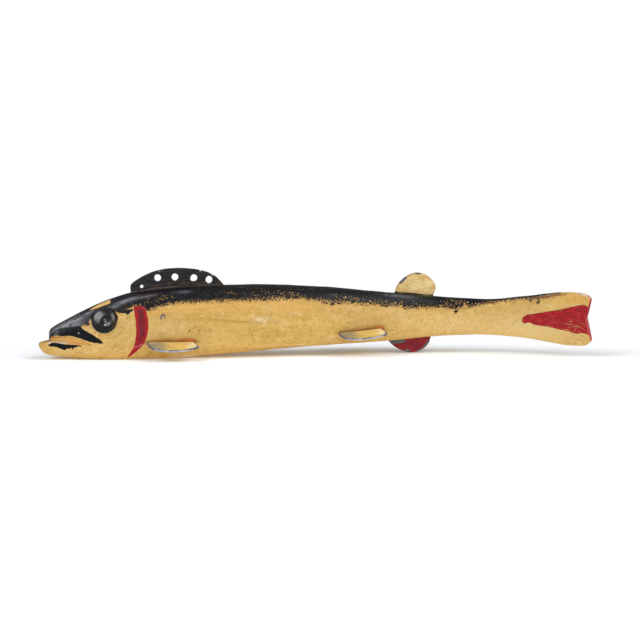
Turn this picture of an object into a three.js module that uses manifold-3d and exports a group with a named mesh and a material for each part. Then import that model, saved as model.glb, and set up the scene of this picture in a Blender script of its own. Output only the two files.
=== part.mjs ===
// Fish decoy, a carved and painted spearing decoy: one piece of wood with sheet metal fins set in saw kerfs
// and a round tack for each eye. Millimetres, +Z up, the head towards -X, the fish's left side towards -Y.
// The fish stands on the flat of its belly and on the edge of its anal fin, and its tail bends to the left.

import * as THREE from 'three';
import { mergeVertices } from 'three/addons/utils/BufferGeometryUtils.js';
import Module from 'manifold-3d';

const wasm = await Module();
wasm.setup();

// Driving sizes of the wooden body
const bodyLength = 233.2; // along the centre line, from the tip of the lower jaw to the tail
const bodyHeight = 30; // from the flat of the belly to the highest point of the back
const bodyWidth = 23; // across the shoulders
const tailTurn = THREE.MathUtils.degToRad(26); // how far the tail is bent to the left
const tailNotchDepth = 2.2; // the shallow V in the end of the tail
const tailEdgeBevel = 0.5; // rounding of the tail's end edge
const mouthDepth = 1.7; // how far the mouth is cut in under the upper lip
const jawLipDrop = 0.3; // the lower jaw's rounded upper edge
const snoutRound = 4; // the upper jaw is rounded in plan over this length
const snoutFrontFoot = 1.3; // half width of the blunt front's foot on the lower jaw
const leastMouthWidth = 0.9; // half the wood left between the two sides of the mouth
const gillWidth = 5; // the gouge cut behind each cheek
const gillDepth = 0.75;

// Driving sizes of the fins and the eyes
const sheetThickness = 0.7; // every fin is cut from the same sheet
const kerfClearance = 0.3; // air around what is let into the wood
const dorsalLength = 39;
const dorsalRise = 8; // above the back
const dorsalTang = 5; // the part hidden in the kerf
const lineHoleDiameter = 2.7;
const nailHoleDiameter = 1.3;
const adiposeLength = 16.7;
const adiposeRise = 9.3;
const analLength = 18.4;
const smallTang = 4.5; // of the adipose and anal fins
const pectoralLength = 19.5;
const pectoralReach = 8.6; // out from the body
const pelvicLength = 18.4;
const pelvicReach = 8.5;
const sideFinTang = 3.6;
const pectoralDroop = THREE.MathUtils.degToRad(17);
const pelvicDroop = THREE.MathUtils.degToRad(15);
const eyeDiameter = 10.7;
const eyeDome = 3.2; // from the flat back of the tack's head to its top
const eyeRim = 0.5; // thickness of the tack's head at its rim
const eyeDimpleDiameter = 5;
const eyeDimpleDepth = 0.35;
const eyeDimpleFloor = 3; // diameter of its flat floor
const eyeSeatDepth = 1.3; // the tack's head is let into the cheek

// Places along the body, as shares of its length
const snoutShare = 0.0185; // the upper jaw starts here, behind the tip of the lower jaw
const mouthCornerShare = 0.095;
const bendShare = 0.677; // the bend starts here
const bendSpan = 0.171; // and runs over this share, to a straight tail
const dorsalShare = 0.1637; // front of each fin's root
const adiposeShare = 0.6385;
const analShare = 0.6272;
const pectoralShare = 0.1891;
const pelvicShare = 0.5325;
const eyeShare = 0.1144;

// Heights, as shares of the body's height
const eyeHeight = 0.556;
const pectoralHeight = 0.235;
const pelvicHeight = 0.308;
const pelvicRiseAlong = THREE.MathUtils.degToRad(5.2); // the root climbs with the belly line

// Outlines of the body: [share of the length, share of the height or of half the width]
const backPoints = [
  [0.0185, 0.385], [0.023, 0.43], [0.043, 0.523], [0.085, 0.69], [0.128, 0.823], [0.171, 0.917],
  [0.239, 0.975], [0.363, 1], [0.5, 0.958], [0.628, 0.865], [0.748, 0.777], [0.803, 0.763],
  [0.876, 0.82], [0.962, 0.9], [0.983, 0.893], [1, 0.833],
];
const keelPoints = [
  [0, 0.177], [0.0064, 0.103], [0.0137, 0.068], [0.028, 0.037], [0.056, 0.01], [0.094, -0.017],
  [0.15, -0.03], [0.222, -0.03], [0.282, 0], [0.355, 0.045], [0.47, 0.107], [0.585, 0.157],
  [0.641, 0.18], [0.731, 0.233], [0.803, 0.253], [0.876, 0.227], [0.936, 0.17], [0.968, 0.152],
  [0.987, 0.16], [1, 0.22],
];
const widestPoints = [
  [0, 0.22], [0.0064, 0.237], [0.0201, 0.256], [0.056, 0.233], [0.095, 0.22], [0.128, 0.253],
  [0.18, 0.333], [0.256, 0.417], [0.363, 0.483], [0.8, 0.51], [1, 0.547],
];
const sidePoints = [
  [0, 0.13], [0.0034, 0.25], [0.0128, 0.365], [0.0201, 0.43], [0.043, 0.55], [0.085, 0.7],
  [0.128, 0.826], [0.18, 0.94], [0.256, 1], [0.342, 0.983], [0.449, 0.887], [0.556, 0.74],
  [0.641, 0.583], [0.726, 0.426], [0.812, 0.304], [0.906, 0.235], [1, 0.175],
];
const lipPoints = [
  [0.0201, 0.083], [0.035, 0.093], [0.053, 0.107], [0.071, 0.087], [0.088, 0.037], [0.098, 0.03],
  [0.256, 0.06], [1, 0.06],
]; // height of the upper lip's edge over the mouth line
const roundnessPoints = [[0, 2], [0.3, 2.25], [0.8, 2.5], [1, 3]]; // exponent of the oval section

// Shares of the head's and the tail's smaller forms
const snoutFrontShare = 0.42; // how wide the blunt front is, against the snout's full width
const frontFootShare = 0.6; // the front's foot stays within this share of the jaw's half width
const coveHeightShare = 0.4; // height of the mouth's hollow between the mouth line and the lip
const coveDepthShare = 0.75; // how deep it is there, against the mouth's depth
const notchFadeShare = 0.5; // the tail's notch fades out over this share of the body's height

// Fin outlines: [share of the fin's length, share of its rise or reach], from the front of the root
const dorsalOutline = [
  [0, 0], [0, 0.38], [0.03, 0.52], [0.1, 0.69], [0.22, 0.885], [0.42, 1], [0.7, 0.88], [0.89, 0.54], [1, 0],
];
const adiposeOutline = [
  [0, 0], [0.09, 0.39], [0.34, 0.83], [0.6, 1], [0.87, 0.87], [1.06, 0.47], [1, 0],
];
const analOutline = [
  [0, 0], [0.13, 0.4], [0.33, 0.8], [0.57, 1], [0.77, 0.9], [0.94, 0.5], [1, 0],
];
const sideOutline = [
  [0, 0], [0.03, 0.42], [0.17, 0.8], [0.4, 1], [0.76, 0.96], [1.08, 0.6], [1, 0],
];
const lineHoles = [[0.29, 0.553], [0.474, 0.523], [0.677, 0.426], [0.838, 0.293]];
const nailHole = [0.12, 0.213];

// The gill cut's middle line on the side of the body: [share of the length, share of the height]
const gillPoints = [
  [0.171, 0.79], [0.1735, 0.71], [0.178, 0.58], [0.18, 0.45], [0.1785, 0.33], [0.1745, 0.235],
];

// How finely the shapes are divided
const upperRows = 6;
const lowerRows = 5;
const jawStations = 5;
const snoutStations = 5;
const headStep = 2.4;
const trunkStep = 5;
const tailStep = 3.5;
const headEndShare = 0.21; // the head's finer stations run to here, past the gills
const finSteps = 26;
const holeSteps = 16;
const eyeSteps = 24;
const domeSteps = 5;
const gougeSides = 14;
const gougeSteps = 12;
const frontWallStep = 0.05; // the upper jaw's front wall rises over this length
const surfaceProbe = 0.5; // distance at which the slope of the cheek is felt

// A smooth line through points, without overshoot between them
function smoothLine(points, scaleAlong, scaleAcross) {
  const xs = points.map((point) => point[0] * scaleAlong);
  const ys = points.map((point) => point[1] * scaleAcross);
  const slopes = xs.slice(1).map((x, i) => (ys[i + 1] - ys[i]) / (x - xs[i]));
  const tangents = xs.map((_, i) => {
    const before = slopes[Math.max(i - 1, 0)];
    const after = slopes[Math.min(i, slopes.length - 1)];
    return before * after > 0 ? (2 * before * after) / (before + after) : 0;
  });
  return (value) => {
    const x = THREE.MathUtils.clamp(value, xs[0], xs[xs.length - 1]);
    let i = 0;
    while (i < xs.length - 2 && x > xs[i + 1]) i += 1;
    const span = xs[i + 1] - xs[i];
    const t = (x - xs[i]) / span;
    const rise = ys[i + 1] - ys[i];
    const bow = t * (1 - t) * ((tangents[i] * span - rise) * (1 - t) - (tangents[i + 1] * span - rise) * t);
    return ys[i] + rise * t + bow;
  };
}

const backAt = smoothLine(backPoints, bodyLength, bodyHeight);
const keelAt = smoothLine(keelPoints, bodyLength, bodyHeight);
const widestAt = smoothLine(widestPoints, bodyLength, bodyHeight);
const halfWidthAt = smoothLine(sidePoints, bodyLength, bodyWidth / 2);
const lipAt = smoothLine(lipPoints, bodyLength, bodyHeight);
const roundnessAt = smoothLine(roundnessPoints, bodyLength, 1);

// The centre line: straight, then an arc to the left, then straight again
const bendStart = bendShare * bodyLength;
const bendRadius = (bendSpan * bodyLength) / tailTurn;
function turnAt(s) {
  return THREE.MathUtils.clamp((s - bendStart) / bendRadius, 0, tailTurn);
}
function centreAt(s) {
  const turn = turnAt(s);
  const before = Math.min(s, bendStart);
  const after = Math.max(s - bendStart - bendRadius * tailTurn, 0);
  const x = before + bendRadius * Math.sin(turn) + after * Math.cos(turn);
  const y = -bendRadius * (1 - Math.cos(turn)) - after * Math.sin(turn);
  return new THREE.Vector3(x, y, 0);
}
// A point of the body, s along the centre line, off to the right of it by across, at height z
function bodyPoint(s, across, z) {
  const turn = turnAt(s);
  return centreAt(s).add(new THREE.Vector3(Math.sin(turn) * across, Math.cos(turn) * across, z));
}

// Half the width of the body at station s and height z, without the mouth
function sideAt(s, z) {
  const widest = widestAt(s);
  const reach = z > widest ? backAt(s) - widest : widest - keelAt(s);
  const share = Math.min(Math.abs(z - widest) / reach, 1);
  const power = roundnessAt(s);
  return halfWidthAt(s) * (1 - share ** power) ** (1 / power);
}

const snoutStart = snoutShare * bodyLength;
const mouthCorner = mouthCornerShare * bodyLength;

// Half of the section at station s, from the crown to the keel, as [across, z]
function halfSection(s, onJaw) {
  const back = backAt(s);
  const keel = keelAt(s);
  const widest = widestAt(s);
  const half = halfWidthAt(s);
  const power = roundnessAt(s);
  const rows = [];
  if (onJaw) {
    const foot = Math.min(snoutFrontFoot, half * frontFootShare);
    const count = upperRows + 2;
    for (let i = 0; i <= count; i += 1) rows.push([(foot * i) / count, widest]);
  } else {
    const along = THREE.MathUtils.clamp((s - snoutStart) / snoutRound, 0, 1);
    const round = snoutFrontShare + (1 - snoutFrontShare) * Math.sqrt(1 - (1 - along) ** 2);
    const lip = widest + lipAt(s);
    const mouthShare = THREE.MathUtils.clamp((s - snoutStart) / (mouthCorner - snoutStart), 0, 1);
    const inset = mouthDepth * (1 - mouthShare ** 2);
    const lipAngle = Math.acos(((lip - widest) / (back - widest)) ** (power / 2));
    for (let i = 0; i <= upperRows; i += 1) {
      const angle = (lipAngle * i) / upperRows;
      const across = half * Math.sin(angle) ** (2 / power);
      rows.push([across * round, widest + (back - widest) * Math.cos(angle) ** (2 / power)]);
    }
    const cove = widest + (lip - widest) * coveHeightShare;
    rows.push([(sideAt(s, cove) - inset * coveDepthShare) * round, cove]);
    rows.push([Math.max((half - inset) * round, leastMouthWidth), widest]);
  }
  const edge = widest - jawLipDrop;
  const edgeAngle = Math.asin(((widest - edge) / (widest - keel)) ** (power / 2));
  for (let i = 0; i <= lowerRows; i += 1) {
    const angle = edgeAngle + ((Math.PI / 2 - edgeAngle) * i) / lowerRows;
    const across = i === lowerRows ? 0 : half * Math.cos(angle) ** (2 / power);
    rows.push([across, widest - (widest - keel) * Math.sin(angle) ** (2 / power)]);
  }
  return rows;
}

// How far the tail's end is notched at height z, fading out towards the tail's root
function notchAt(s, z) {
  const fade = THREE.MathUtils.clamp(1 - (bodyLength - s) / (bodyHeight * notchFadeShare), 0, 1) ** 2;
  const reach = (backAt(bodyLength) - keelAt(bodyLength)) / 2;
  const share = 1 - Math.min(Math.abs(z - widestAt(bodyLength)) / reach, 1);
  return tailNotchDepth * fade * share;
}

// Stations along the body, closer together at the jaw, the snout, the head and the tail
function bodyStations() {
  const stations = [];
  for (let i = 0; i < jawStations; i += 1) {
    stations.push({ s: snoutStart * (1 - Math.cos((i / jawStations) * (Math.PI / 2))), onJaw: true });
  }
  stations.push({ s: snoutStart - frontWallStep, onJaw: true });
  for (let i = 0; i < snoutStations; i += 1) {
    stations.push({ s: snoutStart + snoutRound * (i / snoutStations) ** 2, onJaw: false });
  }
  const addEvenly = (from, to, step) => {
    const count = Math.ceil((to - from) / step);
    for (let i = 0; i < count; i += 1) stations.push({ s: from + ((to - from) * i) / count, onJaw: false });
  };
  const headEnd = headEndShare * bodyLength;
  addEvenly(snoutStart + snoutRound, headEnd, headStep);
  addEvenly(headEnd, bendStart, trunkStep);
  addEvenly(bendStart, bodyLength - tailEdgeBevel, tailStep);
  stations.push({ s: bodyLength - tailEdgeBevel, onJaw: false });
  return stations;
}

// The carved body as one closed surface
function carvedBody() {
  const rings = bodyStations().map(({ s, onJaw }) => {
    const half = halfSection(s, onJaw);
    const right = half.map(([across, z]) => bodyPoint(s - notchAt(s, z), across, z));
    const left = half.slice(1, -1).map(([across, z]) => bodyPoint(s - notchAt(s, z), -across, z));
    return right.concat(left.reverse());
  });
  // the end of the tail, drawn in all round by the bevel
  const endHalf = halfSection(bodyLength, false);
  const endMiddle = widestAt(bodyLength);
  const endHeight = backAt(bodyLength) - endMiddle;
  const shrinkAcross = 1 - tailEdgeBevel / halfWidthAt(bodyLength);
  const shrinkUp = 1 - tailEdgeBevel / endHeight;
  const endRing = (sign) => ([across, z]) => {
    const height = endMiddle + (z - endMiddle) * shrinkUp;
    return bodyPoint(bodyLength - notchAt(bodyLength, z), sign * across * shrinkAcross, height);
  };
  rings.push(endHalf.map(endRing(1)).concat(endHalf.slice(1, -1).map(endRing(-1)).reverse()));

  const around = rings[0].length;
  const positions = rings.flat().flatMap((point) => point.toArray());
  const index = [];
  for (let r = 0; r < rings.length - 1; r += 1) {
    for (let i = 0; i < around; i += 1) {
      const a = r * around + i;
      const b = r * around + ((i + 1) % around);
      index.push(a, a + around, b, b, a + around, b + around);
    }
  }
  // both ends are closed by strips from side to side, because the notched end has no single middle
  const lastRing = (rings.length - 1) * around;
  const lastRow = around / 2;
  for (const [first, flip] of [[0, true], [lastRing, false]]) {
    const addFace = (a, b, c) => index.push(...(flip ? [a, c, b] : [a, b, c]));
    for (let row = 0; row < lastRow; row += 1) {
      const right = first + row;
      const left = first + ((around - row) % around);
      const leftNext = first + around - row - 1;
      if (row > 0) addFace(right, left, right + 1);
      if (row < lastRow - 1) addFace(left, leftNext, right + 1);
    }
  }
  const geometry = new THREE.BufferGeometry();
  geometry.setAttribute('position', new THREE.Float32BufferAttribute(positions, 3));
  geometry.setIndex(index);
  return geometry;
}

// Joining and cutting closed surfaces
function toSolid(geometry) {
  const bare = geometry.clone();
  bare.deleteAttribute('normal');
  bare.deleteAttribute('uv');
  const merged = mergeVertices(bare, 1e-4);
  const vertProperties = new Float32Array(merged.attributes.position.array);
  const triVerts = new Uint32Array(merged.index.array);
  return new wasm.Manifold(new wasm.Mesh({ numProp: 3, vertProperties, triVerts }));
}
function toGeometry(solid) {
  const mesh = solid.getMesh();
  const geometry = new THREE.BufferGeometry();
  geometry.setAttribute('position', new THREE.Float32BufferAttribute(mesh.vertProperties, 3));
  geometry.setIndex(Array.from(mesh.triVerts));
  geometry.computeVertexNormals();
  return geometry;
}

function circlePoints(x, y, diameter, steps) {
  return Array.from({ length: steps }, (_, i) => {
    const angle = (i / steps) * Math.PI * 2;
    return new THREE.Vector2(x + (diameter / 2) * Math.cos(angle), y + (diameter / 2) * Math.sin(angle));
  });
}

// A flat plate from an outline drawn along x and y, its thickness centred on z = 0
function plate(outline, holes) {
  const shape = new THREE.Shape(outline.map(([x, y]) => new THREE.Vector2(x, y)));
  for (const { x, y, diameter } of holes) {
    shape.holes.push(new THREE.Path(circlePoints(x, y, diameter, holeSteps)));
  }
  const settings = { depth: sheetThickness, bevelEnabled: false };
  return new THREE.ExtrudeGeometry(shape, settings).translate(0, 0, -sheetThickness / 2);
}

// A fin's shares turned into a curved edge, with its tang added under the root
function finEdge(outline, length, rise) {
  const points = outline.map(([along, out]) => new THREE.Vector3(along * length, out * rise, 0));
  return new THREE.CatmullRomCurve3(points, false, 'centripetal').getPoints(finSteps);
}

const steel = { roughness: 0.55, metalness: 0.3 };
const decoy = new THREE.Group();
const cuts = [];

function addPiece(name, geometry, matrix, look) {
  const mesh = new THREE.Mesh(geometry, new THREE.MeshStandardMaterial(look));
  mesh.name = name;
  mesh.applyMatrix4(matrix);
  decoy.add(mesh);
}
function addKerf(width, depth, rise, matrix) {
  const kerf = new THREE.BoxGeometry(width, depth + rise, sheetThickness + 2 * kerfClearance);
  cuts.push(toSolid(kerf.translate(width / 2 - kerfClearance, (rise - depth) / 2, 0).applyMatrix4(matrix)));
}

// The place of an upright fin: x along the body from the front of its root, y up or down, z across
function uprightPlace(share, length, up) {
  const start = share * bodyLength;
  const middle = start + length / 2;
  const turn = turnAt(middle);
  const along = new THREE.Vector3(Math.cos(turn), -Math.sin(turn), 0);
  const out = new THREE.Vector3(0, 0, up);
  const place = new THREE.Matrix4().makeBasis(along, out, along.clone().cross(out));
  return place.setPosition(centreAt(middle).addScaledVector(along, -length / 2));
}

// The fins on the middle line: each follows the back or the keel, and its tang is hidden in its kerf
function addUprightFin({ name, share, length, rise, outline, lineAt, up, tang, holes, look }) {
  const place = uprightPlace(share, length, up);
  const start = share * bodyLength;
  const heightAt = (x) => up * lineAt(start + THREE.MathUtils.clamp(x, 0, length));
  const edge = finEdge(outline, length, rise).map((point) => [point.x, point.y + heightAt(point.x)]);
  const root = Math.min(heightAt(0), heightAt(length));
  const tangFoot = root - tang;
  const placedHoles = holes.map(({ at, diameter }) => {
    const x = at[0] * length;
    return { x, y: heightAt(x) + at[1] * rise, diameter };
  });
  addPiece(name, plate([...edge, [length, tangFoot], [0, tangFoot]], placedHoles), place, look);
  const kerfPlace = place.clone().multiply(new THREE.Matrix4().makeTranslation(0, root, 0));
  addKerf(length + 2 * kerfClearance, tang + kerfClearance, rise, kerfPlace);
}

const black = new THREE.Color(0x2c2b2d);
const cream = new THREE.Color(0xcdb27a);
const ochre = new THREE.Color(0xd9b263);
const red = new THREE.Color(0x8c1c26);

const roundHoles = lineHoles.map((at) => ({ at, diameter: lineHoleDiameter }));
addUprightFin({
  name: 'dorsal_fin', share: dorsalShare, length: dorsalLength, rise: dorsalRise, outline: dorsalOutline,
  lineAt: backAt, up: 1, tang: dorsalTang, look: { color: black, ...steel },
  holes: [...roundHoles, { at: nailHole, diameter: nailHoleDiameter }],
});
addUprightFin({
  name: 'adipose_fin', share: adiposeShare, length: adiposeLength, rise: adiposeRise,
  outline: adiposeOutline, lineAt: backAt, up: 1, tang: smallTang, holes: [],
  look: { color: cream, ...steel },
});
// the anal fin reaches down to the plane that the belly's flat lies on
const analLowest = analOutline.reduce((best, point) => (point[1] > best[1] ? point : best));
const analDrop = keelAt(analShare * bodyLength + analLowest[0] * analLength);
addUprightFin({
  name: 'anal_fin', share: analShare, length: analLength, rise: analDrop, outline: analOutline,
  lineAt: keelAt, up: -1, tang: smallTang, look: { color: red, ...steel }, holes: [],
});

// The paired fins: each root is a straight kerf in the side, and the plate slopes down from it
function addSideFin({ name, side, share, height, rise, droop, length, reach, look }) {
  const start = share * bodyLength;
  const end = start + length * Math.cos(rise);
  const low = height * bodyHeight;
  const high = low + length * Math.sin(rise);
  const front = bodyPoint(start, side * sideAt(start, low), low);
  const rear = bodyPoint(end, side * sideAt(end, high), high);
  const along = rear.clone().sub(front).normalize();
  const down = new THREE.Vector3(0, side * Math.cos(droop), -Math.sin(droop));
  const out = down.addScaledVector(along, -down.dot(along)).normalize();
  const place = new THREE.Matrix4().makeBasis(along, out, along.clone().cross(out)).setPosition(front);
  const edge = finEdge(sideOutline, length, reach).map((point) => [point.x, point.y]);
  addPiece(name, plate([...edge, [length, -sideFinTang], [0, -sideFinTang]], []), place, look);
  addKerf(length + 2 * kerfClearance, sideFinTang + kerfClearance, reach / 2, place);
}

// A round tack let into each cheek, square to the surface there
function addEye(name, side) {
  const station = eyeShare * bodyLength;
  const height = eyeHeight * bodyHeight;
  const at = (s, z) => bodyPoint(s, side * sideAt(s, z), z);
  const alongSurface = at(station + surfaceProbe, height).sub(at(station - surfaceProbe, height));
  const upSurface = at(station, height + surfaceProbe).sub(at(station, height - surfaceProbe));
  const normal = alongSurface.cross(upSurface).multiplyScalar(-side).normalize();
  const seat = at(station, height).addScaledVector(normal, -eyeSeatDepth);
  const turn = new THREE.Quaternion().setFromUnitVectors(new THREE.Vector3(0, 1, 0), normal);
  const place = new THREE.Matrix4().compose(seat, turn, new THREE.Vector3(1, 1, 1));

  const radius = eyeDiameter / 2;
  const dimple = eyeDimpleDiameter / 2;
  const domeAt = (r) => eyeRim + (eyeDome - eyeRim) * Math.sqrt(1 - (r / radius) ** 2);
  const profile = [new THREE.Vector2(0, 0), new THREE.Vector2(radius, 0)];
  for (let i = 0; i < domeSteps; i += 1) {
    const angle = (Math.acos(dimple / radius) * i) / domeSteps;
    profile.push(new THREE.Vector2(radius * Math.cos(angle), domeAt(radius * Math.cos(angle))));
  }
  profile.push(new THREE.Vector2(dimple, domeAt(dimple)));
  profile.push(new THREE.Vector2(eyeDimpleFloor / 2, domeAt(dimple) - eyeDimpleDepth));
  profile.push(new THREE.Vector2(0, domeAt(dimple) - eyeDimpleDepth));
  const look = { color: black, roughness: 0.2, metalness: 0.2 };
  addPiece(name, new THREE.LatheGeometry(profile, eyeSteps), place, look);

  const seatRadius = radius + kerfClearance;
  const socket = new THREE.CylinderGeometry(seatRadius, seatRadius, eyeDome + kerfClearance, eyeSteps);
  cuts.push(toSolid(socket.translate(0, (eyeDome - kerfClearance) / 2, 0).applyMatrix4(place)));
}

// The gill, cut with a round gouge drawn down the side behind the cheek
function addGillCut(side) {
  const radius = ((gillWidth / 2) ** 2 + gillDepth ** 2) / (2 * gillDepth);
  const route = gillPoints.map(([along, up], i) => {
    const s = along * bodyLength;
    const z = up * bodyHeight;
    const depth = i === 0 ? 0 : gillDepth; // the cut runs in from nothing at its upper end
    return bodyPoint(s, side * (sideAt(s, z) + radius - depth), z);
  });
  const section = new THREE.Shape(circlePoints(0, 0, radius * 2, gougeSides));
  const settings = { steps: gougeSteps, extrudePath: new THREE.CatmullRomCurve3(route) };
  cuts.push(toSolid(new THREE.ExtrudeGeometry(section, settings)));
}

for (const [word, side] of [['left', -1], ['right', 1]]) {
  addSideFin({
    name: `${word}_pectoral_fin`, side, share: pectoralShare, height: pectoralHeight, rise: 0,
    droop: pectoralDroop, length: pectoralLength, reach: pectoralReach, look: { color: cream, ...steel },
  });
  addSideFin({
    name: `${word}_pelvic_fin`, side, share: pelvicShare, height: pelvicHeight, rise: pelvicRiseAlong,
    droop: pelvicDroop, length: pelvicLength, reach: pelvicReach, look: { color: cream, ...steel },
  });
  addEye(`${word}_eye`, side);
  addGillCut(side);
}

// The flat of the belly: everything under the plane that the fish stands on is planed away
const planed = new THREE.BoxGeometry(bodyLength * 2, bodyLength, bodyHeight);
cuts.push(toSolid(planed.translate(bodyLength / 2, 0, -bodyHeight / 2)));

const body = cuts.reduce((solid, cut) => solid.subtract(cut), toSolid(carvedBody()));
addPiece('body', toGeometry(body), new THREE.Matrix4(), { color: ochre, roughness: 0.5, metalness: 0 });

// The origin lies on the ground under the middle of the whole decoy
const box = new THREE.Box3().setFromObject(decoy);
const middle = box.getCenter(new THREE.Vector3());
decoy.position.set(-middle.x, -middle.y, -box.min.z);

export default decoy;
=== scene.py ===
"""Looks of a carved and painted wooden fish decoy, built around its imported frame.

Sizes are millimetres in the fish's own frame: s runs along the centre line from the tip of the lower jaw
to the tail, z is the height over the ground, and g is the distance over the skin from the middle of the back.
"""

import math
from types import SimpleNamespace

import bmesh
import bpy
import numpy as np
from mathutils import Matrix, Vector
from mathutils.geometry import delaunay_2d_cdt


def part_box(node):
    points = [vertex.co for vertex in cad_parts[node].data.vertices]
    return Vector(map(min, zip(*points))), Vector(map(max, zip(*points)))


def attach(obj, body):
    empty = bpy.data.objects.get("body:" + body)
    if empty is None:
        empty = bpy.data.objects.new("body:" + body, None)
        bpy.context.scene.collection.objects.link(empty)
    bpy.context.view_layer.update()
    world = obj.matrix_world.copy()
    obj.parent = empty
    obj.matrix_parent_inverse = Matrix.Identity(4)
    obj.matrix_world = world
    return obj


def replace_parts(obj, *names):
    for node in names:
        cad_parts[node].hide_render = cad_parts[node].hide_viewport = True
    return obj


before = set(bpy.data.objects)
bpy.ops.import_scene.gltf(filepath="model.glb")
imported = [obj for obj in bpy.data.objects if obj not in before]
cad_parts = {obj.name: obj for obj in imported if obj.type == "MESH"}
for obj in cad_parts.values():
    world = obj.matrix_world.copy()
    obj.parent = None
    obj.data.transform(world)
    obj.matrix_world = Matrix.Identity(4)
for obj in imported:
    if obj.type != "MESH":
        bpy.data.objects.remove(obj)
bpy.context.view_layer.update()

MM = 0.001
SEED = 9

# Driving sizes of the carved body, as the frame has them
BODY_LENGTH = 233.2
BODY_HEIGHT = 30.0
BODY_WIDTH = 23.0
TAIL_TURN = math.radians(26)
TAIL_NOTCH = 2.2
TAIL_BEVEL = 0.5
MOUTH_DEPTH = 1.7
JAW_LIP_DROP = 0.3
SNOUT_ROUND = 4.0
SNOUT_FOOT = 1.3
LEAST_MOUTH_WIDTH = 0.9
GILL_WIDTH = 5.0
GILL_DEPTH = 0.75
GILL_STOP_HEIGHT = 7.0

# Driving sizes of the fins and the eyes
SHEET = 0.7
DORSAL_LENGTH, DORSAL_RISE, DORSAL_TANG = 39.0, 8.0, 5.0
LINE_HOLE, NAIL_HOLE = 2.7, 1.3
ADIPOSE_LENGTH, ADIPOSE_RISE = 16.7, 9.3
ANAL_LENGTH = 18.4
SMALL_TANG = 4.5
PECTORAL_LENGTH, PECTORAL_REACH = 19.5, 8.6
PELVIC_LENGTH, PELVIC_REACH = 18.4, 8.5
SIDE_TANG = 3.6
PECTORAL_DROOP, PELVIC_DROOP = math.radians(17), math.radians(15)
EYE_DIAMETER = 10.7
EYE_DOME = 3.2
EYE_RIM = 0.5
EYE_SEAT = 1.3
EYE_REACH = 6.0  # how far in or out of its seat an eye still marks the wood
EYE_DIMPLE, EYE_DIMPLE_DEPTH, EYE_DIMPLE_FLOOR = 5.0, 0.35, 3.0
EYE_DIMPLE_SHARE = 0.4  # of the frame's own depth, which the paint has filled up in part

# Shares of the length and the height
SNOUT_SHARE, MOUTH_CORNER_SHARE = 0.0185, 0.095
BEND_SHARE, BEND_SPAN = 0.677, 0.171
DORSAL_SHARE, ADIPOSE_SHARE, ANAL_SHARE = 0.1637, 0.6385, 0.6272
PECTORAL_SHARE, PELVIC_SHARE, EYE_SHARE = 0.1891, 0.5325, 0.1144
PECTORAL_HEIGHT, PELVIC_HEIGHT, EYE_HEIGHT = 0.235, 0.308, 0.556
PELVIC_RISE = math.radians(5.2)
SNOUT_FRONT_SHARE, FRONT_FOOT_SHARE, NOTCH_FADE = 0.42, 0.6, 0.5
SIDE_FINS = {
    "pectoral": (PECTORAL_SHARE, PECTORAL_HEIGHT, 0.0, PECTORAL_LENGTH, PECTORAL_REACH, PECTORAL_DROOP),
    "pelvic": (PELVIC_SHARE, PELVIC_HEIGHT, PELVIC_RISE, PELVIC_LENGTH, PELVIC_REACH, PELVIC_DROOP),
}

# Uneven carving, calm near both ends. Each wave has a length, a height and a seed.
KNIFE_DEPTH, KNIFE_CALM = 0.1, 12.0
KNIFE_WAVES = [(26, 0.07, 1), (7, 0.025, 2)]

# How the gill cut fades in and stops, the bead of paint round an eye, and the dips along the kerfs
GILL_FADE_SHARE, GILL_STOP_STEP = 0.22, 0.5
BEAD_OUT, BEAD_WIDTH, BEAD_RISE = 0.55, 0.42, 0.28
KERF_DIP, KERF_DIP_WIDTH = 0.4, 0.7

# Outlines of the body: share of the length, share of the height or of half the width
BACK_LINE = [
    (0.0185, 0.385), (0.023, 0.43), (0.043, 0.523), (0.085, 0.69), (0.128, 0.823), (0.171, 0.917),
    (0.239, 0.975), (0.363, 1), (0.5, 0.958), (0.628, 0.865), (0.748, 0.777), (0.803, 0.763),
    (0.876, 0.82), (0.962, 0.9), (0.983, 0.893), (1, 0.833),
]
KEEL_LINE = [
    (0, 0.177), (0.0064, 0.103), (0.0137, 0.068), (0.028, 0.037), (0.056, 0.01), (0.094, -0.017),
    (0.15, -0.03), (0.222, -0.03), (0.282, 0), (0.355, 0.045), (0.47, 0.107), (0.585, 0.157),
    (0.641, 0.18), (0.731, 0.233), (0.803, 0.253), (0.876, 0.227), (0.936, 0.17), (0.968, 0.152),
    (0.987, 0.16), (1, 0.22),
]
WIDEST_LINE = [
    (0, 0.22), (0.0064, 0.237), (0.0201, 0.256), (0.056, 0.233), (0.095, 0.22), (0.128, 0.253),
    (0.18, 0.333), (0.256, 0.417), (0.363, 0.483), (0.8, 0.51), (1, 0.547),
]
SIDE_LINE = [
    (0, 0.13), (0.0034, 0.25), (0.0128, 0.365), (0.0201, 0.43), (0.043, 0.55), (0.085, 0.7),
    (0.128, 0.826), (0.18, 0.94), (0.256, 1), (0.342, 0.983), (0.449, 0.887), (0.556, 0.74),
    (0.641, 0.583), (0.726, 0.426), (0.812, 0.304), (0.906, 0.235), (1, 0.175),
]
LIP_LINE = [
    (0.0201, 0.083), (0.035, 0.093), (0.053, 0.107), (0.071, 0.087), (0.088, 0.037), (0.098, 0.03),
    (0.256, 0.06), (1, 0.06),
]
ROUNDNESS_LINE = [(0, 2), (0.3, 2.25), (0.8, 2.5), (1, 3)]
GILL_LINE = [
    (0.171, 0.79), (0.1735, 0.71), (0.178, 0.58), (0.18, 0.45), (0.1785, 0.33), (0.1745, 0.235),
]

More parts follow.
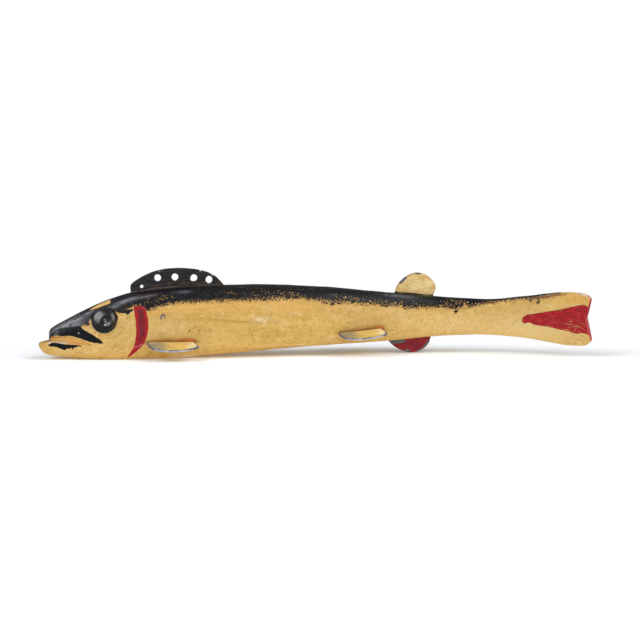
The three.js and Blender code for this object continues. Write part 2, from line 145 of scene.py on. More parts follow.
# Fin outlines: share of the fin's length, share of its rise or reach
DORSAL_EDGE = [
    (0, 0), (0, 0.38), (0.03, 0.52), (0.1, 0.69), (0.22, 0.885), (0.42, 1), (0.7, 0.88), (0.89, 0.54), (1, 0),
]
ADIPOSE_EDGE = [(0, 0), (0.09, 0.39), (0.34, 0.83), (0.6, 1), (0.87, 0.87), (1.06, 0.47), (1, 0)]
ANAL_EDGE = [(0, 0), (0.13, 0.4), (0.33, 0.8), (0.57, 1), (0.77, 0.9), (0.94, 0.5), (1, 0)]
SIDE_EDGE = [(0, 0), (0.03, 0.42), (0.17, 0.8), (0.4, 1), (0.76, 0.96), (1.08, 0.6), (1, 0)]
LINE_HOLES = [(0.29, 0.553), (0.474, 0.523), (0.677, 0.426), (0.838, 0.293)]
NAIL_HOLE_PLACE = (0.12, 0.213)
LINE_HOLE_WEAR = [
    {"seed": 1},
    {"seed": 2, "tear": (0.15, 270, 12)},
    {"seed": 3, "tear": (0.3, 215, 26)},
    {"seed": 4, "tall": 1.08},
]
NAIL_HOLE_WEAR = {"seed": 5}

# Painted areas and lines on the side of the body: station and height in millimetres
BACK_EDGE = [
    (3, 10.1), (7.7, 10.3), (11.5, 10.5), (15.4, 11), (16.8, 14), (17.8, 14.4), (19.2, 14.7),
    (20.5, 14.8), (20.6, 16), (21.2, 17), (22.5, 18.6), (27, 20.8), (30.7, 20.3), (32.6, 20.2),
    (35, 20.7), (36.6, 21.5), (38.4, 22.4), (41, 22.4), (43.4, 20.6), (45.8, 20.9), (50, 22.4),
    (54.1, 23.3), (58.3, 23.8), (66.6, 24.2), (74.7, 24.3), (91.4, 24.5), (108.2, 24.7), (120.8, 23.2),
    (133.5, 22.3), (142.1, 21.5), (148.5, 20.9), (155, 19.9), (168.3, 19.9), (174.9, 19.4),
    (185.7, 20.8), (190.1, 21.7), (194.4, 22.6), (199.6, 23.3), (204.5, 23.8), (210.9, 24.7),
    (214.5, 25.5), (217, 26), (220, 26.6),
]
LIP_STROKE = [
    (3.6, 10.05), (9.4, 10.15), (12.5, 10.3), (15.2, 9.5), (19, 8.4), (22.7, 7.3), (26.7, 6.9),
    (25.5, 8.3), (23.3, 9.9), (20.8, 11.5), (18.3, 12.8), (16.8, 14.3), (9, 13.4),
]
CHEEK_DAB = [
    (31.4, 20.1), (33.6, 20.5), (36.6, 21.2), (39.2, 21.2), (38.6, 20.4), (37.6, 20.1), (37, 19.4),
    (36.2, 18.8), (35.6, 19.6), (34.4, 19.5), (33, 19.6),
]
PAINT_OUTLINES = {
    "brow": [
        (20.7, 20.6), (21.3, 20.5), (23.8, 21.2), (27.5, 22.5), (29.6, 23.25), (29.8, 24.5),
        (26.2, 23.3), (23.2, 22),
    ],
    "jaw_stroke": [
        (3.6, 7), (10, 6.8), (17.3, 6.45), (17.3, 5.95), (15.6, 5.9), (15.1, 5.1), (14.5, 5.8),
        (13.8, 4.4), (13.1, 5.5), (12.3, 4.6), (11.7, 5.1), (10.2, 4.2), (9.3, 4.7), (8.4, 4.9),
        (7, 5.4), (5.2, 5.8), (3.9, 6.1),
    ],
    "gill": [
        (38.8, 22), (39, 20.2), (39.4, 17), (39.7, 12.4), (39.3, 7.9), (38.3, 5), (37, 2.6),
        (35.4, 0.2), (38.6, 2.4), (41.1, 4.8), (43, 6.9), (44.1, 10.1), (44.8, 13.9), (44.6, 17.4),
        (44, 20.3), (43.4, 22.1), (41.3, 22.6),
    ],
    "wedge": [
        (203.9, 14.7), (204.4, 16), (206, 17.1), (211.9, 18.2), (218.7, 19.4), (222.8, 20.4),
        (227.2, 21.5), (231.8, 21.8), (240, 21.8), (240, 9.6), (232, 9.6), (227.3, 9.8), (223.7, 10.8),
        (220.4, 11.2), (215.5, 12.3), (210, 12.7), (207, 13.9), (206, 13.6), (204.2, 13.6),
    ],
}
MARK_LINES = {
    "rust": [(29.5, 20.4), (33, 20.5), (36, 21.2), (38.1, 22.3)],
    "tail_rust": [(209, 24.1), (214, 24.8), (218, 25.5), (222.5, 26.2)],
    "crease": [(38.6, 5.6), (40.4, 5.9), (42.8, 6.9)],
}
# a painted shadow line along a low carved ridge on the side
RIDGE_SHADOW_LINE = [(66, 17.2), (79, 15.8), (91, 15.1), (98, 15.4)]

# Soft patches on the sides: station, height, reach along, reach up, strength.
# The shifted ones lie nearer the head on the hidden side, and the shown ones aren't on it at all.
SHIFTED_PATCHES = {
    "orange": [
        (52, 20.6, 8, 1.8, 0.9), (62, 21.4, 12, 2.4, 0.9), (80, 22, 15, 2.6, 1),
        (102, 21.8, 15, 2.4, 0.9), (124, 20, 14, 2, 0.5), (224, 24.6, 6, 2, 0.9),
    ],
    # olive tone in places, and a painted shade on the flat below the side's ridge
    "olive_and_facet_shade": [
        (77, 13.4, 16, 4, 1), (51, 5.5, 8, 3, 0.5), (24, 7.4, 4, 1.2, 0.4), (31, 6, 5, 4, 0.8),
        (112, 11, 14, 3.5, 0.7), (143, 8, 12, 2, 0.5), (92, 13.6, 9, 1.2, 0.8), (66, 6, 9, 3, 0.4),
    ],
    "grey": [
        (53, 13.5, 9, 4.5, 0.75), (34, 10, 4.5, 6, 0.45), (136, 15, 11, 2.2, 0.7),
        (129, 11.5, 3, 1.5, 0.5), (66, 9, 6, 3, 0.35), (58, 4.4, 7, 2, 0.5),
    ],
    # pale ochre in places; on the tail it is partly painted light on the side that turns to the light
    "pale": [
        (206, 11, 26, 7, 1), (178, 12, 16, 5, 0.7), (12, 5, 12, 3, 0.5), (160, 13, 14, 4, 0.35),
        (37, 16, 3, 3, 0.2),
    ],
    # lighter, warmer ochre along the keel, painted light bounced up onto the lower body
    "warm_bounce_light": [
        (30, 1, 22, 2, 0.5), (75, 1.5, 30, 2.6, 0.8), (110, 4.4, 30, 2.2, 1), (140, 5.6, 16, 2.2, 0.9),
        (190, 8, 18, 1.4, 0.8),
    ],
    "dirt": [
        (104, 3.6, 22, 1.5, 1), (124, 7, 8, 2, 0.5), (67, 12, 6, 3, 0.6), (32, 12, 5, 5, 0.6),
        (36, 3, 5, 3, 0.5), (95, 10, 22, 4, 0.5), (145, 9, 12, 3, 0.45), (156, 13, 8, 4, 0.4),
        (228, 6, 5, 3, 0.6), (6, 7, 3, 2, 0.7), (50, 4, 8, 3, 0.6), (92, 2.6, 3, 1.2, 1.2),
        (31.5, 6.2, 2, 0.5, 1.2), (25.4, 4.8, 1.2, 0.5, 1.2), (25.2, 0.9, 2, 0.5, 1.2),
        (36.3, 18, 1.2, 0.6, 1.1), (46, 3.2, 2, 1, 0.9), (176, 12, 9, 4, 0.3),
    ],
    # grey on the black: worn paint, and a painted sheen on the snout and the crown
    "black_wear_and_sheen": [
        (7.5, 13, 3.5, 1.3, 1), (11, 14.6, 4.5, 1.6, 1.1), (15, 16.2, 4, 1.4, 1),
        (20, 19.3, 3, 0.9, 0.7), (26, 22.2, 4, 0.5, 0.5), (36, 24.4, 5, 1, 0.9), (44, 26, 4, 0.7, 0.6),
        (60, 27.8, 3, 0.8, 0.5), (150, 24.6, 6, 0.8, 0.6), (31, 22, 2.5, 0.8, 0.7),
        (10, 13, 4.5, 1.2, 1), (14.5, 14.2, 4, 1.2, 0.8),
    ],
    "flecked": [
        (13, 17, 5, 1.6, 1.9), (18.5, 19.2, 4, 1.4, 1.7), (16, 15.6, 3.5, 0.9, 1.4),
        (45, 25.6, 6, 2.4, 1), (52, 25.6, 4, 2.2, 1.1), (37, 24.4, 4, 1.2, 1), (84, 27.2, 12, 1.6, 1.2),
        (101, 26.6, 14, 2.2, 1), (126, 24.6, 14, 1.6, 0.6), (178, 21.4, 14, 1.6, 1.1),
    ],
}
SHOWN_PATCHES = {
    # pale scuffs, and a painted highlight in a thin band along the top of the ridge
    "scuffs_and_ridge_highlight": [
        (91.5, 16.4, 4.2, 1.5, 1), (87.9, 17.9, 0.9, 0.8, 0.9), (106, 18.6, 4.4, 0.9, 0.62),
        (75.7, 19.2, 0.7, 1, 1), (80.5, 17.1, 2.4, 0.4, 0.7), (109.5, 4.6, 3.6, 0.8, 0.9),
        (121.5, 8.1, 1.6, 0.8, 0.8), (59, 0.8, 7, 0.6, 1.2), (51.3, 12.5, 0.7, 0.8, 1),
        (82, 1.9, 3, 0.6, 0.7), (104, 3.4, 5, 0.5, 0.7),
    ],
    "strays": [
        (118.7, 22.3, 1.6, 0.7, 1), (121.6, 22, 1.3, 0.8, 1.1), (124.2, 22.2, 1.3, 0.6, 0.9),
        (144, 20.8, 1.6, 0.6, 0.8), (175.2, 17.5, 1.1, 0.8, 1.5), (207.5, 22.8, 4, 1.5, 0.5),
        (215, 24, 5, 1.5, 0.45), (210.6, 22.7, 0.9, 1.4, 1.3),
    ],
    "rubbed_bare": [(56, 0.7, 3, 0.5, 0.9), (61, 0.9, 3.4, 0.6, 1)],
}
EVEN_PATCHES = {
    "stain_end": [(61.7, 8.1, 2, 1.1, 1.1), (141.6, 11.9, 1.8, 1, 1), (51, 1.2, 2.2, 0.9, 0.8)],
    "corner": [(229.6, 26.7, 3.4, 1.3, 1.3)],
}
HIDDEN_SIDE_SHIFT = 17.0
FAR_OFF, EYE_FAR_OFF = 9.0, 20.0  # distances that none of the paints reads as near

# Bare and stained spots on the fins: x from the front of the root, y from the skin, reaches, strength
DORSAL_SPOTS = [(12.7, 7.2, 1, 0.6, 1), (29.1, 6.4, 0.8, 0.8, 1.1), (34.6, 4.3, 1.4, 0.7, 1.1)]
ADIPOSE_SPOTS = [
    (2.5, 4.4, 0.9, 0.9, 1.2), (3.5, 5.5, 1, 1, 1.2), (4.6, 6.6, 1, 1, 1.2), (9.8, 9, 1.9, 0.5, 1.2),
]
ANAL_SPOTS = [
    (3.6, 0.5, 4.8, 1.1, 1.3), (8.2, 5.3, 1.5, 1.3, 1.3), (17.2, 2.6, 1.1, 1.5, 1.3),
    (16.4, 4, 1.3, 1.2, 1.3), (15, 5.1, 1.4, 1.1, 1.3), (13.6, 5.8, 1.4, 0.8, 1.3),
]

# Single marks: on the body by station and height, on the eye by how far to the rear and up from its middle
SPOT_MARKS = {
    "flake": (50.8, 18.1), "flake_core": (50.9, 17.5), "pin_hole": (61.8, 12.1), "snout_nick": (4.3, 10.9),
    "lip_dot": (16.2, 11.4),
}
EYE_DIMPLE_SHIFT = (1.1, -0.8)
EYE_CHIP_TILT = 65
EYE_CHIP_PLACE = (0.9, -0.85)
# painted glints: pale spots that stand in for highlights on the bare metal
EYE_GLINTS = [((0.9, -2.3), (0.7, 0.35)), ((2.2, -1.6), (0.4, 0.4))]
EYE_PIT = ((2.5, -1.0), (0.3, 0.3))

# Studio: how much brighter paint looks under its light than its own colour, and the floor's own light
STUDIO_GAIN = 1.26
FLOOR_PAINT = (0.9, 0.92, 0.95)
FLOOR_GLOW = 0.08
FLOOR_HALF = 30.0  # metres
WORLD_LIGHT = 0.22

# Soft lights: azimuth, elevation and width in degrees, strength, and whether glossy paint shows it.
# Azimuth 0 is in front of the fish's left side, negative towards its head.
LIGHTS = {
    "left_softbox": (-70, 41, 33, 0.42, True),
    "right_softbox": (58, 42, 46, 0.52, True),
    "ceiling": (0, 88, 130, 0.11, False),
    "front_fill": (-7, 12, 100, 0.24, False),
    "floor_bounce": (-7, -36, 80, 0.42, False),
}

# Camera: its azimuth and elevation, its distance, the middle of its picture, and the picture's scale
CAMERA_AZIMUTH, CAMERA_ELEVATION, CAMERA_DISTANCE = -7.5, 7, 1200.0
PICTURE_MIDDLE = (3.34, 4.46, 14.26)
PIXELS_PER_MM, PICTURE_WIDTH, SENSOR = 2.384, 640, 36.0
CLIP_START, CLIP_END = 0.05, 100  # metres

# A fin's face that looks this way has one pattern of wear, and its other face another
FIN_SHOWN_FROM = np.array((0, -1, 1))

# How finely the body is divided
UPPER_ROWS, COVE_ROWS, LEDGE_ROWS, LOWER_ROWS = 46, 8, 4, 34
HEAD_STEP, TRUNK_STEP, TAIL_STEP = 0.42, 0.6, 0.5
HEAD_END = 48.0
JAW_RINGS, SNOUT_RINGS, JAW_GAP = 12, 14, 0.05
TAIL_END_ANGLES, TAIL_CAP_SHARES = (30, 60, 90), (0.66, 0.33)
END_FACE_SHARES = (0.3, 0.6, 1, 1, 1)  # how much each of the last rings is a part of the end face

# How the plates and the tacks are divided, and how far they are from flat and from round
PLATE_STEP, CURVE_STEPS = 0.45, 14
PLATE_EDGE_LOOPS, PLATE_GRID_MARGIN = (0.03, 0.09, 0.17, 0.3), 0.55
PLATE_WEAR_LEAST, PLATE_WEAR_MORE, PLATE_WEAR_LENGTH = 0.03, 0.05, 3.5
PLATE_BEND, PLATE_BEND_LENGTH = 0.12, 22
PLATE_RIPPLE, PLATE_RIPPLE_LENGTH = 0.03, 4
SHEET_EDGE_ROUND = 0.24
HOLE_SIDES = 44
EYE_SIDES, EYE_DOME_STEPS, EYE_DIMPLE_STEPS = 96, 26, 12
EYE_KNOCKS, EYE_KNOCK_LENGTH, EYE_SUNK = 0.012, 3.4, 0.03


def smooth_line(points, along, across):
    """A smooth line through points, without overshoot between them, as a function of its first value."""
    xs = np.array([p[0] for p in points], float) * along
    ys = np.array([p[1] for p in points], float) * across
    slopes = np.diff(ys) / np.diff(xs)
    before = np.r_[slopes[0], slopes]
    after = np.r_[slopes, slopes[-1]]
    product = before * after
    total = np.where(product > 0, before + after, 1.0)
    tangents = np.where(product > 0, 2 * product / total, 0.0)

    def line(value):
        x = np.clip(value, xs[0], xs[-1])
        i = np.clip(np.searchsorted(xs, x) - 1, 0, len(xs) - 2)
        span = xs[i + 1] - xs[i]
        t = (x - xs[i]) / span
        rise = ys[i + 1] - ys[i]
        start = (tangents[i] * span - rise) * (1 - t)
        end = (tangents[i + 1] * span - rise) * t
        return ys[i] + rise * t + t * (1 - t) * (start - end)

    return line


back_at = smooth_line(BACK_LINE, BODY_LENGTH, BODY_HEIGHT)
keel_at = smooth_line(KEEL_LINE, BODY_LENGTH, BODY_HEIGHT)
widest_at = smooth_line(WIDEST_LINE, BODY_LENGTH, BODY_HEIGHT)
half_width_at = smooth_line(SIDE_LINE, BODY_LENGTH, BODY_WIDTH / 2)
lip_at = smooth_line(LIP_LINE, BODY_LENGTH, BODY_HEIGHT)
roundness_at = smooth_line(ROUNDNESS_LINE, BODY_LENGTH, 1)

SNOUT_START = SNOUT_SHARE * BODY_LENGTH
MOUTH_CORNER = MOUTH_CORNER_SHARE * BODY_LENGTH
BEND_START = BEND_SHARE * BODY_LENGTH
BEND_RADIUS = BEND_SPAN * BODY_LENGTH / TAIL_TURN
BEND_END = BEND_START + BEND_SPAN * BODY_LENGTH

# The fish's own frame in the CAD frame: the jaw's tip and the middle plane, which the back fin stands on
jaw_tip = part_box("body")[0].x / MM
middle_plane = (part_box("dorsal_fin")[0].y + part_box("dorsal_fin")[1].y) / 2 / MM


def turn_at(s):
    return np.clip((s - BEND_START) / BEND_RADIUS, 0, TAIL_TURN)


def body_point(s, across, z):
    """A point s along the centre line, off to the fish's right by across, at height z."""
    turn = turn_at(s)
    before = np.minimum(s, BEND_START)
    after = np.maximum(s - BEND_END, 0)
    x = before + BEND_RADIUS * np.sin(turn) + after * np.cos(turn) + np.sin(turn) * across
    y = -BEND_RADIUS * (1 - np.cos(turn)) - after * np.sin(turn) + np.cos(turn) * across
    return np.stack(np.broadcast_arrays(x + jaw_tip, y + middle_plane, z), axis=-1)


def side_at(s, z):
    """Half the width of the body at station s and height z, without the mouth."""
    widest = widest_at(s)
    reach = np.where(z > widest, back_at(s) - widest, widest - keel_at(s))
    share = np.minimum(np.abs(z - widest) / reach, 1)
    power = roundness_at(s)
    return half_width_at(s) * (1 - share**power) ** (1 / power)


def half_section(s, on_jaw):
    """Half of the section at station s, from the crown to the keel: across and height of each row."""
    back, keel, widest = back_at(s), keel_at(s), widest_at(s)
    half, power = half_width_at(s), roundness_at(s)
    if on_jaw:
        count = UPPER_ROWS + COVE_ROWS
        across = min(SNOUT_FOOT, half * FRONT_FOOT_SHARE) * np.linspace(0, 1, count + 1)
        height = np.full(count + 1, widest)
    else:
        along = np.clip((s - SNOUT_START) / SNOUT_ROUND, 0, 1)
        plan = SNOUT_FRONT_SHARE + (1 - SNOUT_FRONT_SHARE) * math.sqrt(1 - (1 - along) ** 2)
        lip = widest + lip_at(s)
        mouth_share = np.clip((s - SNOUT_START) / (MOUTH_CORNER - SNOUT_START), 0, 1)
        inset = MOUTH_DEPTH * (1 - mouth_share**2)
        lip_angle = math.acos(((lip - widest) / (back - widest)) ** (power / 2))
        angle = np.linspace(0, lip_angle, UPPER_ROWS + 1)
        across = half * np.sin(angle) ** (2 / power)
        height = widest + (back - widest) * np.cos(angle) ** (2 / power)
        down = np.linspace(0, 1, COVE_ROWS + 1)[1:]
        cove_height = lip - (lip - widest) * down
        cove = side_at(s, cove_height) - inset * (1 - (1 - down) ** 1.5)
        across = np.r_[across, cove] * plan
        across[-1] = max(across[-1], LEAST_MOUTH_WIDTH)
        height = np.r_[height, cove_height]
    edge_angle = math.asin((JAW_LIP_DROP / (widest - keel)) ** (power / 2))
    edge = half * math.cos(edge_angle) ** (2 / power)
    out = np.linspace(0, 1, LEDGE_ROWS + 1)[1:]
    ledge_across = across[-1] + (edge - across[-1]) * out
    ledge_height = widest - JAW_LIP_DROP * out**3
    angle = np.linspace(edge_angle, math.pi / 2, LOWER_ROWS + 1)[1:]
    low_across = half * np.maximum(np.cos(angle), 0) ** (2 / power)
    low_across[-1] = 0
    low_height = widest - (widest - keel) * np.sin(angle) ** (2 / power)
    return np.r_[across, ledge_across, low_across], np.r_[height, ledge_height, low_height]


def notch_at(s, z):
    """How far the tail's end is notched at height z, fading out towards the tail's root."""
    fade = np.clip(1 - (BODY_LENGTH - s) / (BODY_HEIGHT * NOTCH_FADE), 0, 1) ** 2
    reach = (back_at(BODY_LENGTH) - keel_at(BODY_LENGTH)) / 2
    return TAIL_NOTCH * fade * (1 - np.minimum(np.abs(z - widest_at(BODY_LENGTH)) / reach, 1))


def body_stations():
    """Stations along the body, closer together at the jaw's tip and the snout."""
    jaw = [(SNOUT_START * (1 - math.cos(math.pi / 2 * i / JAW_RINGS)), True) for i in range(JAW_RINGS)]
    jaw.append((SNOUT_START - JAW_GAP, True))
    snout = [(SNOUT_START + SNOUT_ROUND * (i / SNOUT_RINGS) ** 2, False) for i in range(SNOUT_RINGS)]
    rest = []
    ends = [SNOUT_START + SNOUT_ROUND, HEAD_END, BEND_START, BODY_LENGTH - TAIL_BEVEL]
    for low, high, step in zip(ends, ends[1:], (HEAD_STEP, TRUNK_STEP, TAIL_STEP)):
        count = math.ceil((high - low) / step)
        rest += [(low + (high - low) * i / count, False) for i in range(count)]
    return jaw + snout + rest + [(BODY_LENGTH - TAIL_BEVEL, False)]


class Waves:
    """A smooth random field in space, the same each run: a sum of plane waves of about one wavelength."""

    def __init__(self, wavelength, seed, count=24):
        random = np.random.default_rng(SEED + seed)
        directions = random.normal(size=(count, 3))
        directions /= np.linalg.norm(directions, axis=1)[:, None]
        lengths = wavelength * random.uniform(0.7, 1.5, count)
        self.waves = directions * (2 * math.pi / lengths)[:, None]
        self.phases = random.uniform(0, 2 * math.pi, count)

    def __call__(self, points):
        return np.cos(points @ self.waves.T + self.phases).sum(-1) * math.sqrt(2 / len(self.phases))


def inside_distance(points, outline):
    """Distance of each point to a closed outline, positive inside it."""
    corners = np.array(outline, float)
    nearest = np.full(len(points), np.inf)
    inside = np.zeros(len(points), bool)
    for a, b in zip(corners, np.roll(corners, -1, axis=0)):
        edge = b - a
        share = np.clip(((points - a) @ edge) / (edge @ edge), 0, 1)
        nearest = np.minimum(nearest, np.linalg.norm(points - a - share[:, None] * edge, axis=1))
        crosses = (a[1] > points[:, 1]) != (b[1] > points[:, 1])
        rise = np.where(crosses, b[1] - a[1], 1)
        inside ^= crosses & (points[:, 0] < a[0] + (points[:, 1] - a[1]) * edge[0] / rise)
    return np.where(inside, nearest, -nearest)


def line_distance(points, route):
    """Distance of each point to an open line, and how far along the line it is nearest, from 0 to 1."""
    corners = np.array(route, float)
    lengths = np.linalg.norm(np.diff(corners, axis=0), axis=1)
    starts = np.r_[0, np.cumsum(lengths)]
    nearest = np.full(len(points), np.inf)
    place = np.zeros(len(points))
    for i, (a, b) in enumerate(zip(corners, corners[1:])):
        edge = b - a
        share = np.clip(((points - a) @ edge) / (edge @ edge), 0, 1)
        away = np.linalg.norm(points - a - share[:, None] * edge, axis=1)
        closer = away < nearest
        nearest = np.where(closer, away, nearest)
        place = np.where(closer, (starts[i] + share * lengths[i]) / starts[-1], place)
    return nearest, place


def smooth_step(value, low, high):
    t = np.clip((value - low) / (high - low), 0, 1)
    return t * t * (3 - 2 * t)


def make_mesh(name, points, faces, attributes):
    """A mesh object from points in millimetres, with its attributes by name."""
    mesh = bpy.data.meshes.new(name)
    mesh.from_pydata((np.asarray(points) * MM).tolist(), [], faces)
    for key, values in attributes.items():
        values = np.asarray(values, np.float32)
        kind, part = ("FLOAT_VECTOR", "vector") if values.ndim == 2 else ("FLOAT", "value")
        mesh.attributes.new(key, kind, "POINT").data.foreach_set(part, values.ravel())
    mesh.polygons.foreach_set("use_smooth", [True] * len(mesh.polygons))
    mesh.validate()
    made = bpy.data.objects.new(name, mesh)
    bpy.context.scene.collection.objects.link(made)
    return made


class Skin:
    """The body's surface as a grid of rings, with the distance over the skin of every point."""

    def __init__(self):
        stations = body_stations()
        across, height, along = [], [], []
        for s, on_jaw in stations:
            a, z = half_section(s, on_jaw)
            across.append(a)
            height.append(z)
            along.append(np.full(len(a), s))
        across, height, along = np.array(across), np.array(height), np.array(along)
        # the end of the tail, rounded over its bevel and then closed in towards the middle line
        last_across, last_height = half_section(BODY_LENGTH, False)
        middle = widest_at(BODY_LENGTH)
        rise = back_at(BODY_LENGTH) - middle
        half = half_width_at(BODY_LENGTH)
        for angle in np.radians(TAIL_END_ANGLES):
            drawn_in = TAIL_BEVEL * (1 - math.cos(angle))
            across = np.vstack([across, last_across * (1 - drawn_in / half)])
            height = np.vstack([height, middle + (last_height - middle) * (1 - drawn_in / rise)])
            end = BODY_LENGTH - TAIL_BEVEL * (1 - math.sin(angle))
            along = np.vstack([along, np.full(len(last_across), end)])
        last_ring = across[-1]
        for share in TAIL_CAP_SHARES:
            across = np.vstack([across, last_ring * share])
            height = np.vstack([height, height[-1]])
            along = np.vstack([along, along[-1]])
        self.stations = along[:, 0]
        self.girth = np.zeros_like(across)
        steps = np.hypot(np.diff(across, axis=1), np.diff(height, axis=1))
        self.girth[:, 1:] = np.cumsum(steps, axis=1)
        # on the jaw's rings the distance is counted back from the jaw's edge, so that it runs on smoothly
        snout_ring = next(i for i, (_, on_jaw) in enumerate(stations) if not on_jaw)
        jaw_edge = UPPER_ROWS + COVE_ROWS
        step_in = self.girth[snout_ring, jaw_edge] - self.girth[:snout_ring, jaw_edge]
        self.girth[:snout_ring] += step_in[:, None]
        self.heights = height

        def around(values, sign=1):
            return np.hstack([values, sign * values[:, 1:-1][:, ::-1]])

        self.s = around(along)
        self.across = around(across, -1)
        self.z = around(height)
        self.g = around(self.girth)
        self.side = np.sign(self.across)
        self.end_face = np.zeros_like(self.s)
        self.end_face[-len(END_FACE_SHARES):] = np.array(END_FACE_SHARES)[:, None]

    def points(self):
        return body_point(self.s - notch_at(self.s, self.z), self.across, self.z)

    def girth_of(self, s, z):
        """Distance over the skin from the middle of the back to height z at station s."""
        sides = self.stations[:-len(END_FACE_SHARES)]
        row = int(np.argmin(np.abs(sides - min(s, BODY_LENGTH - TAIL_BEVEL))))
        return float(np.interp(-z, -self.heights[row], self.girth[row]))

    def laid_out(self, outline):
        """An outline of stations and heights, turned to stations and distances over the skin."""
        return [(s, self.girth_of(s, z)) for s, z in outline]


def normals_of(grid):
    """Outward directions of a grid of rings that closes on itself around the body."""
    along = np.gradient(grid, axis=0)
    around = np.roll(grid, -1, axis=1) - np.roll(grid, 1, axis=1)
    outward = np.cross(along, around)
    length = np.linalg.norm(outward, axis=-1, keepdims=True)
    return outward / np.maximum(length, 1e-9)


def side_fin_root(side, share, height, rise, length):
    """Front and rear end of a side fin's root on the skin."""
    start = share * BODY_LENGTH
    end = start + length * math.cos(rise)
    low = height * BODY_HEIGHT
    high = low + length * math.sin(rise)
    front = body_point(start, side * side_at(start, low), low)
    rear = body_point(end, side * side_at(end, high), high)
    return front, rear, [(start, low), (end, high)]


def eye_place(side):
    """The middle of an eye's seat and the direction that it looks in."""
    station, height, probe = EYE_SHARE * BODY_LENGTH, EYE_HEIGHT * BODY_HEIGHT, 0.5

    def at(s, z):
        return body_point(s, side * side_at(s, z), z)

    along = at(station + probe, height) - at(station - probe, height)
    up = at(station, height + probe) - at(station, height - probe)
    normal = np.cross(along, up) * -side
    normal /= np.linalg.norm(normal)
    return at(station, height) - normal * EYE_SEAT, normal


def root_route(skin, fin):
    """A side fin's root as a line over the skin."""
    return skin.laid_out(side_fin_root(-1, *SIDE_FINS[fin][:4])[2])


def eye_nearness(flat, side):
    """How far each point is from the axis of its own side's eye, and how high round it, about -1 to 1."""
    distance = np.full(len(flat), np.inf)
    height = np.zeros(len(flat))
    for eye_side in (-1, 1):
        seat, normal = eye_place(eye_side)
        offset = flat - seat
        depth = offset @ normal
        off_axis = np.linalg.norm(offset - depth[:, None] * normal, axis=1)
        near = (np.abs(depth) < EYE_REACH) & (side == eye_side)
        distance = np.where(near, off_axis, distance)
        height = np.where(near, offset[:, 2] / np.maximum(off_axis, 0.1), height)
    return distance, height


def kerf_distance(skin, place):
    """Distance of each point to the nearest kerf that holds a fin."""
    kerfs = np.full(len(place), np.inf)
    upright = np.abs(skin.across.ravel())
    for share, length, crown in (
        (DORSAL_SHARE, DORSAL_LENGTH, True),
        (ADIPOSE_SHARE, ADIPOSE_LENGTH, True),
        (ANAL_SHARE, ANAL_LENGTH, False),
    ):
        start = share * BODY_LENGTH
        past = np.maximum(np.maximum(start - place[:, 0], place[:, 0] - start - length), 0)
        near = (skin.z.ravel() > widest_at(place[:, 0])) == crown
        kerfs = np.where(near, np.minimum(kerfs, np.hypot(past, upright)), kerfs)
    for fin in SIDE_FINS:
        kerfs = np.minimum(kerfs, line_distance(place, root_route(skin, fin))[0])
    return kerfs


def body_piece(skin):
    """The carved body, with its gill cuts, eye seats and kerfs, and where each paint lies."""
    grid = skin.points()
    flat = grid.reshape(-1, 3)
    stations = skin.s.ravel()
    place = np.stack([stations, skin.g.ravel()], axis=1)
    side = skin.side.ravel()

    # uneven carving: long soft waves and shallow flats left by the knife
    calm = np.clip(stations / KNIFE_CALM, 0, 1) * np.clip((BODY_LENGTH - stations) / KNIFE_CALM, 0, 1)
    knife = np.full(len(flat), KNIFE_DEPTH)
    for length, height, seed in KNIFE_WAVES:
        knife += height * Waves(length, seed)(flat)
    sink = calm * knife

    # the gill cut: a round gouge that stops short at its lower end
    route = skin.laid_out([(s * BODY_LENGTH, z * BODY_HEIGHT) for s, z in GILL_LINE])
    away, along = line_distance(place, route)
    hollow = GILL_DEPTH * np.clip(1 - (away / (GILL_WIDTH / 2)) ** 2, 0, 1)
    stopped = smooth_step(skin.z.ravel(), GILL_STOP_HEIGHT - GILL_STOP_STEP, GILL_STOP_HEIGHT)
    sink += hollow * smooth_step(along, 0, GILL_FADE_SHARE) * stopped

    # the eye's seat, and the bead of paint that lies round it
    eye_distance, eye_height = eye_nearness(flat, side)
    radius = EYE_DIAMETER / 2
    sink += EYE_SEAT * (1 - smooth_step(eye_distance, radius - 0.5, radius + 0.25))
    bead = np.exp(-(((eye_distance - radius - BEAD_OUT) / BEAD_WIDTH) ** 2))
    sink -= BEAD_RISE * bead * smooth_step(-eye_height, -0.5, 0.3)

    sink += KERF_DIP * np.exp(-((kerf_distance(skin, place) / KERF_DIP_WIDTH) ** 2))
    points = flat - normals_of(grid).reshape(-1, 3) * sink[:, None]
    points[:, 2] = np.maximum(points[:, 2], 0)
    fields = paint_fields(skin, place, side, eye_distance, eye_height)
    return make_mesh("carved_body", points, ring_faces(skin), fields)


def ring_faces(skin):
    """Quads between the rings, and the caps of the jaw's tip and of the tail's end."""
    around = skin.s.shape[1]
    rings = skin.s.shape[0]
    index = np.arange(rings * around).reshape(rings, around)
    turned = np.roll(index, -1, axis=1)
    quads = np.stack([index[:-1], turned[:-1], turned[1:], index[1:]], axis=-1)
    faces = quads.reshape(-1, 4)[:, ::-1].tolist()
    rows = around // 2
    for ring, flip in ((0, True), (rings - 1, False)):
        first = ring * around
        for row in range(rows):
            right, left = first + row, first + (around - row) % around
            corners = [right, left, first + around - row - 1, right + 1]
            kept = list(dict.fromkeys(corners))
            faces.append(kept[::-1] if flip else kept)
    return faces


def patches(place, skin, spots):
    """Soft oval patches on the sides, the strongest at each point."""
    total = np.zeros(len(place))
    for s, z, reach_s, reach_z, strength in spots:
        away = np.hypot((place[:, 0] - s) / reach_s, (place[:, 1] - skin.girth_of(s, z)) / reach_z)
        total = np.maximum(total, strength * np.exp(-(away**2)))
    return total


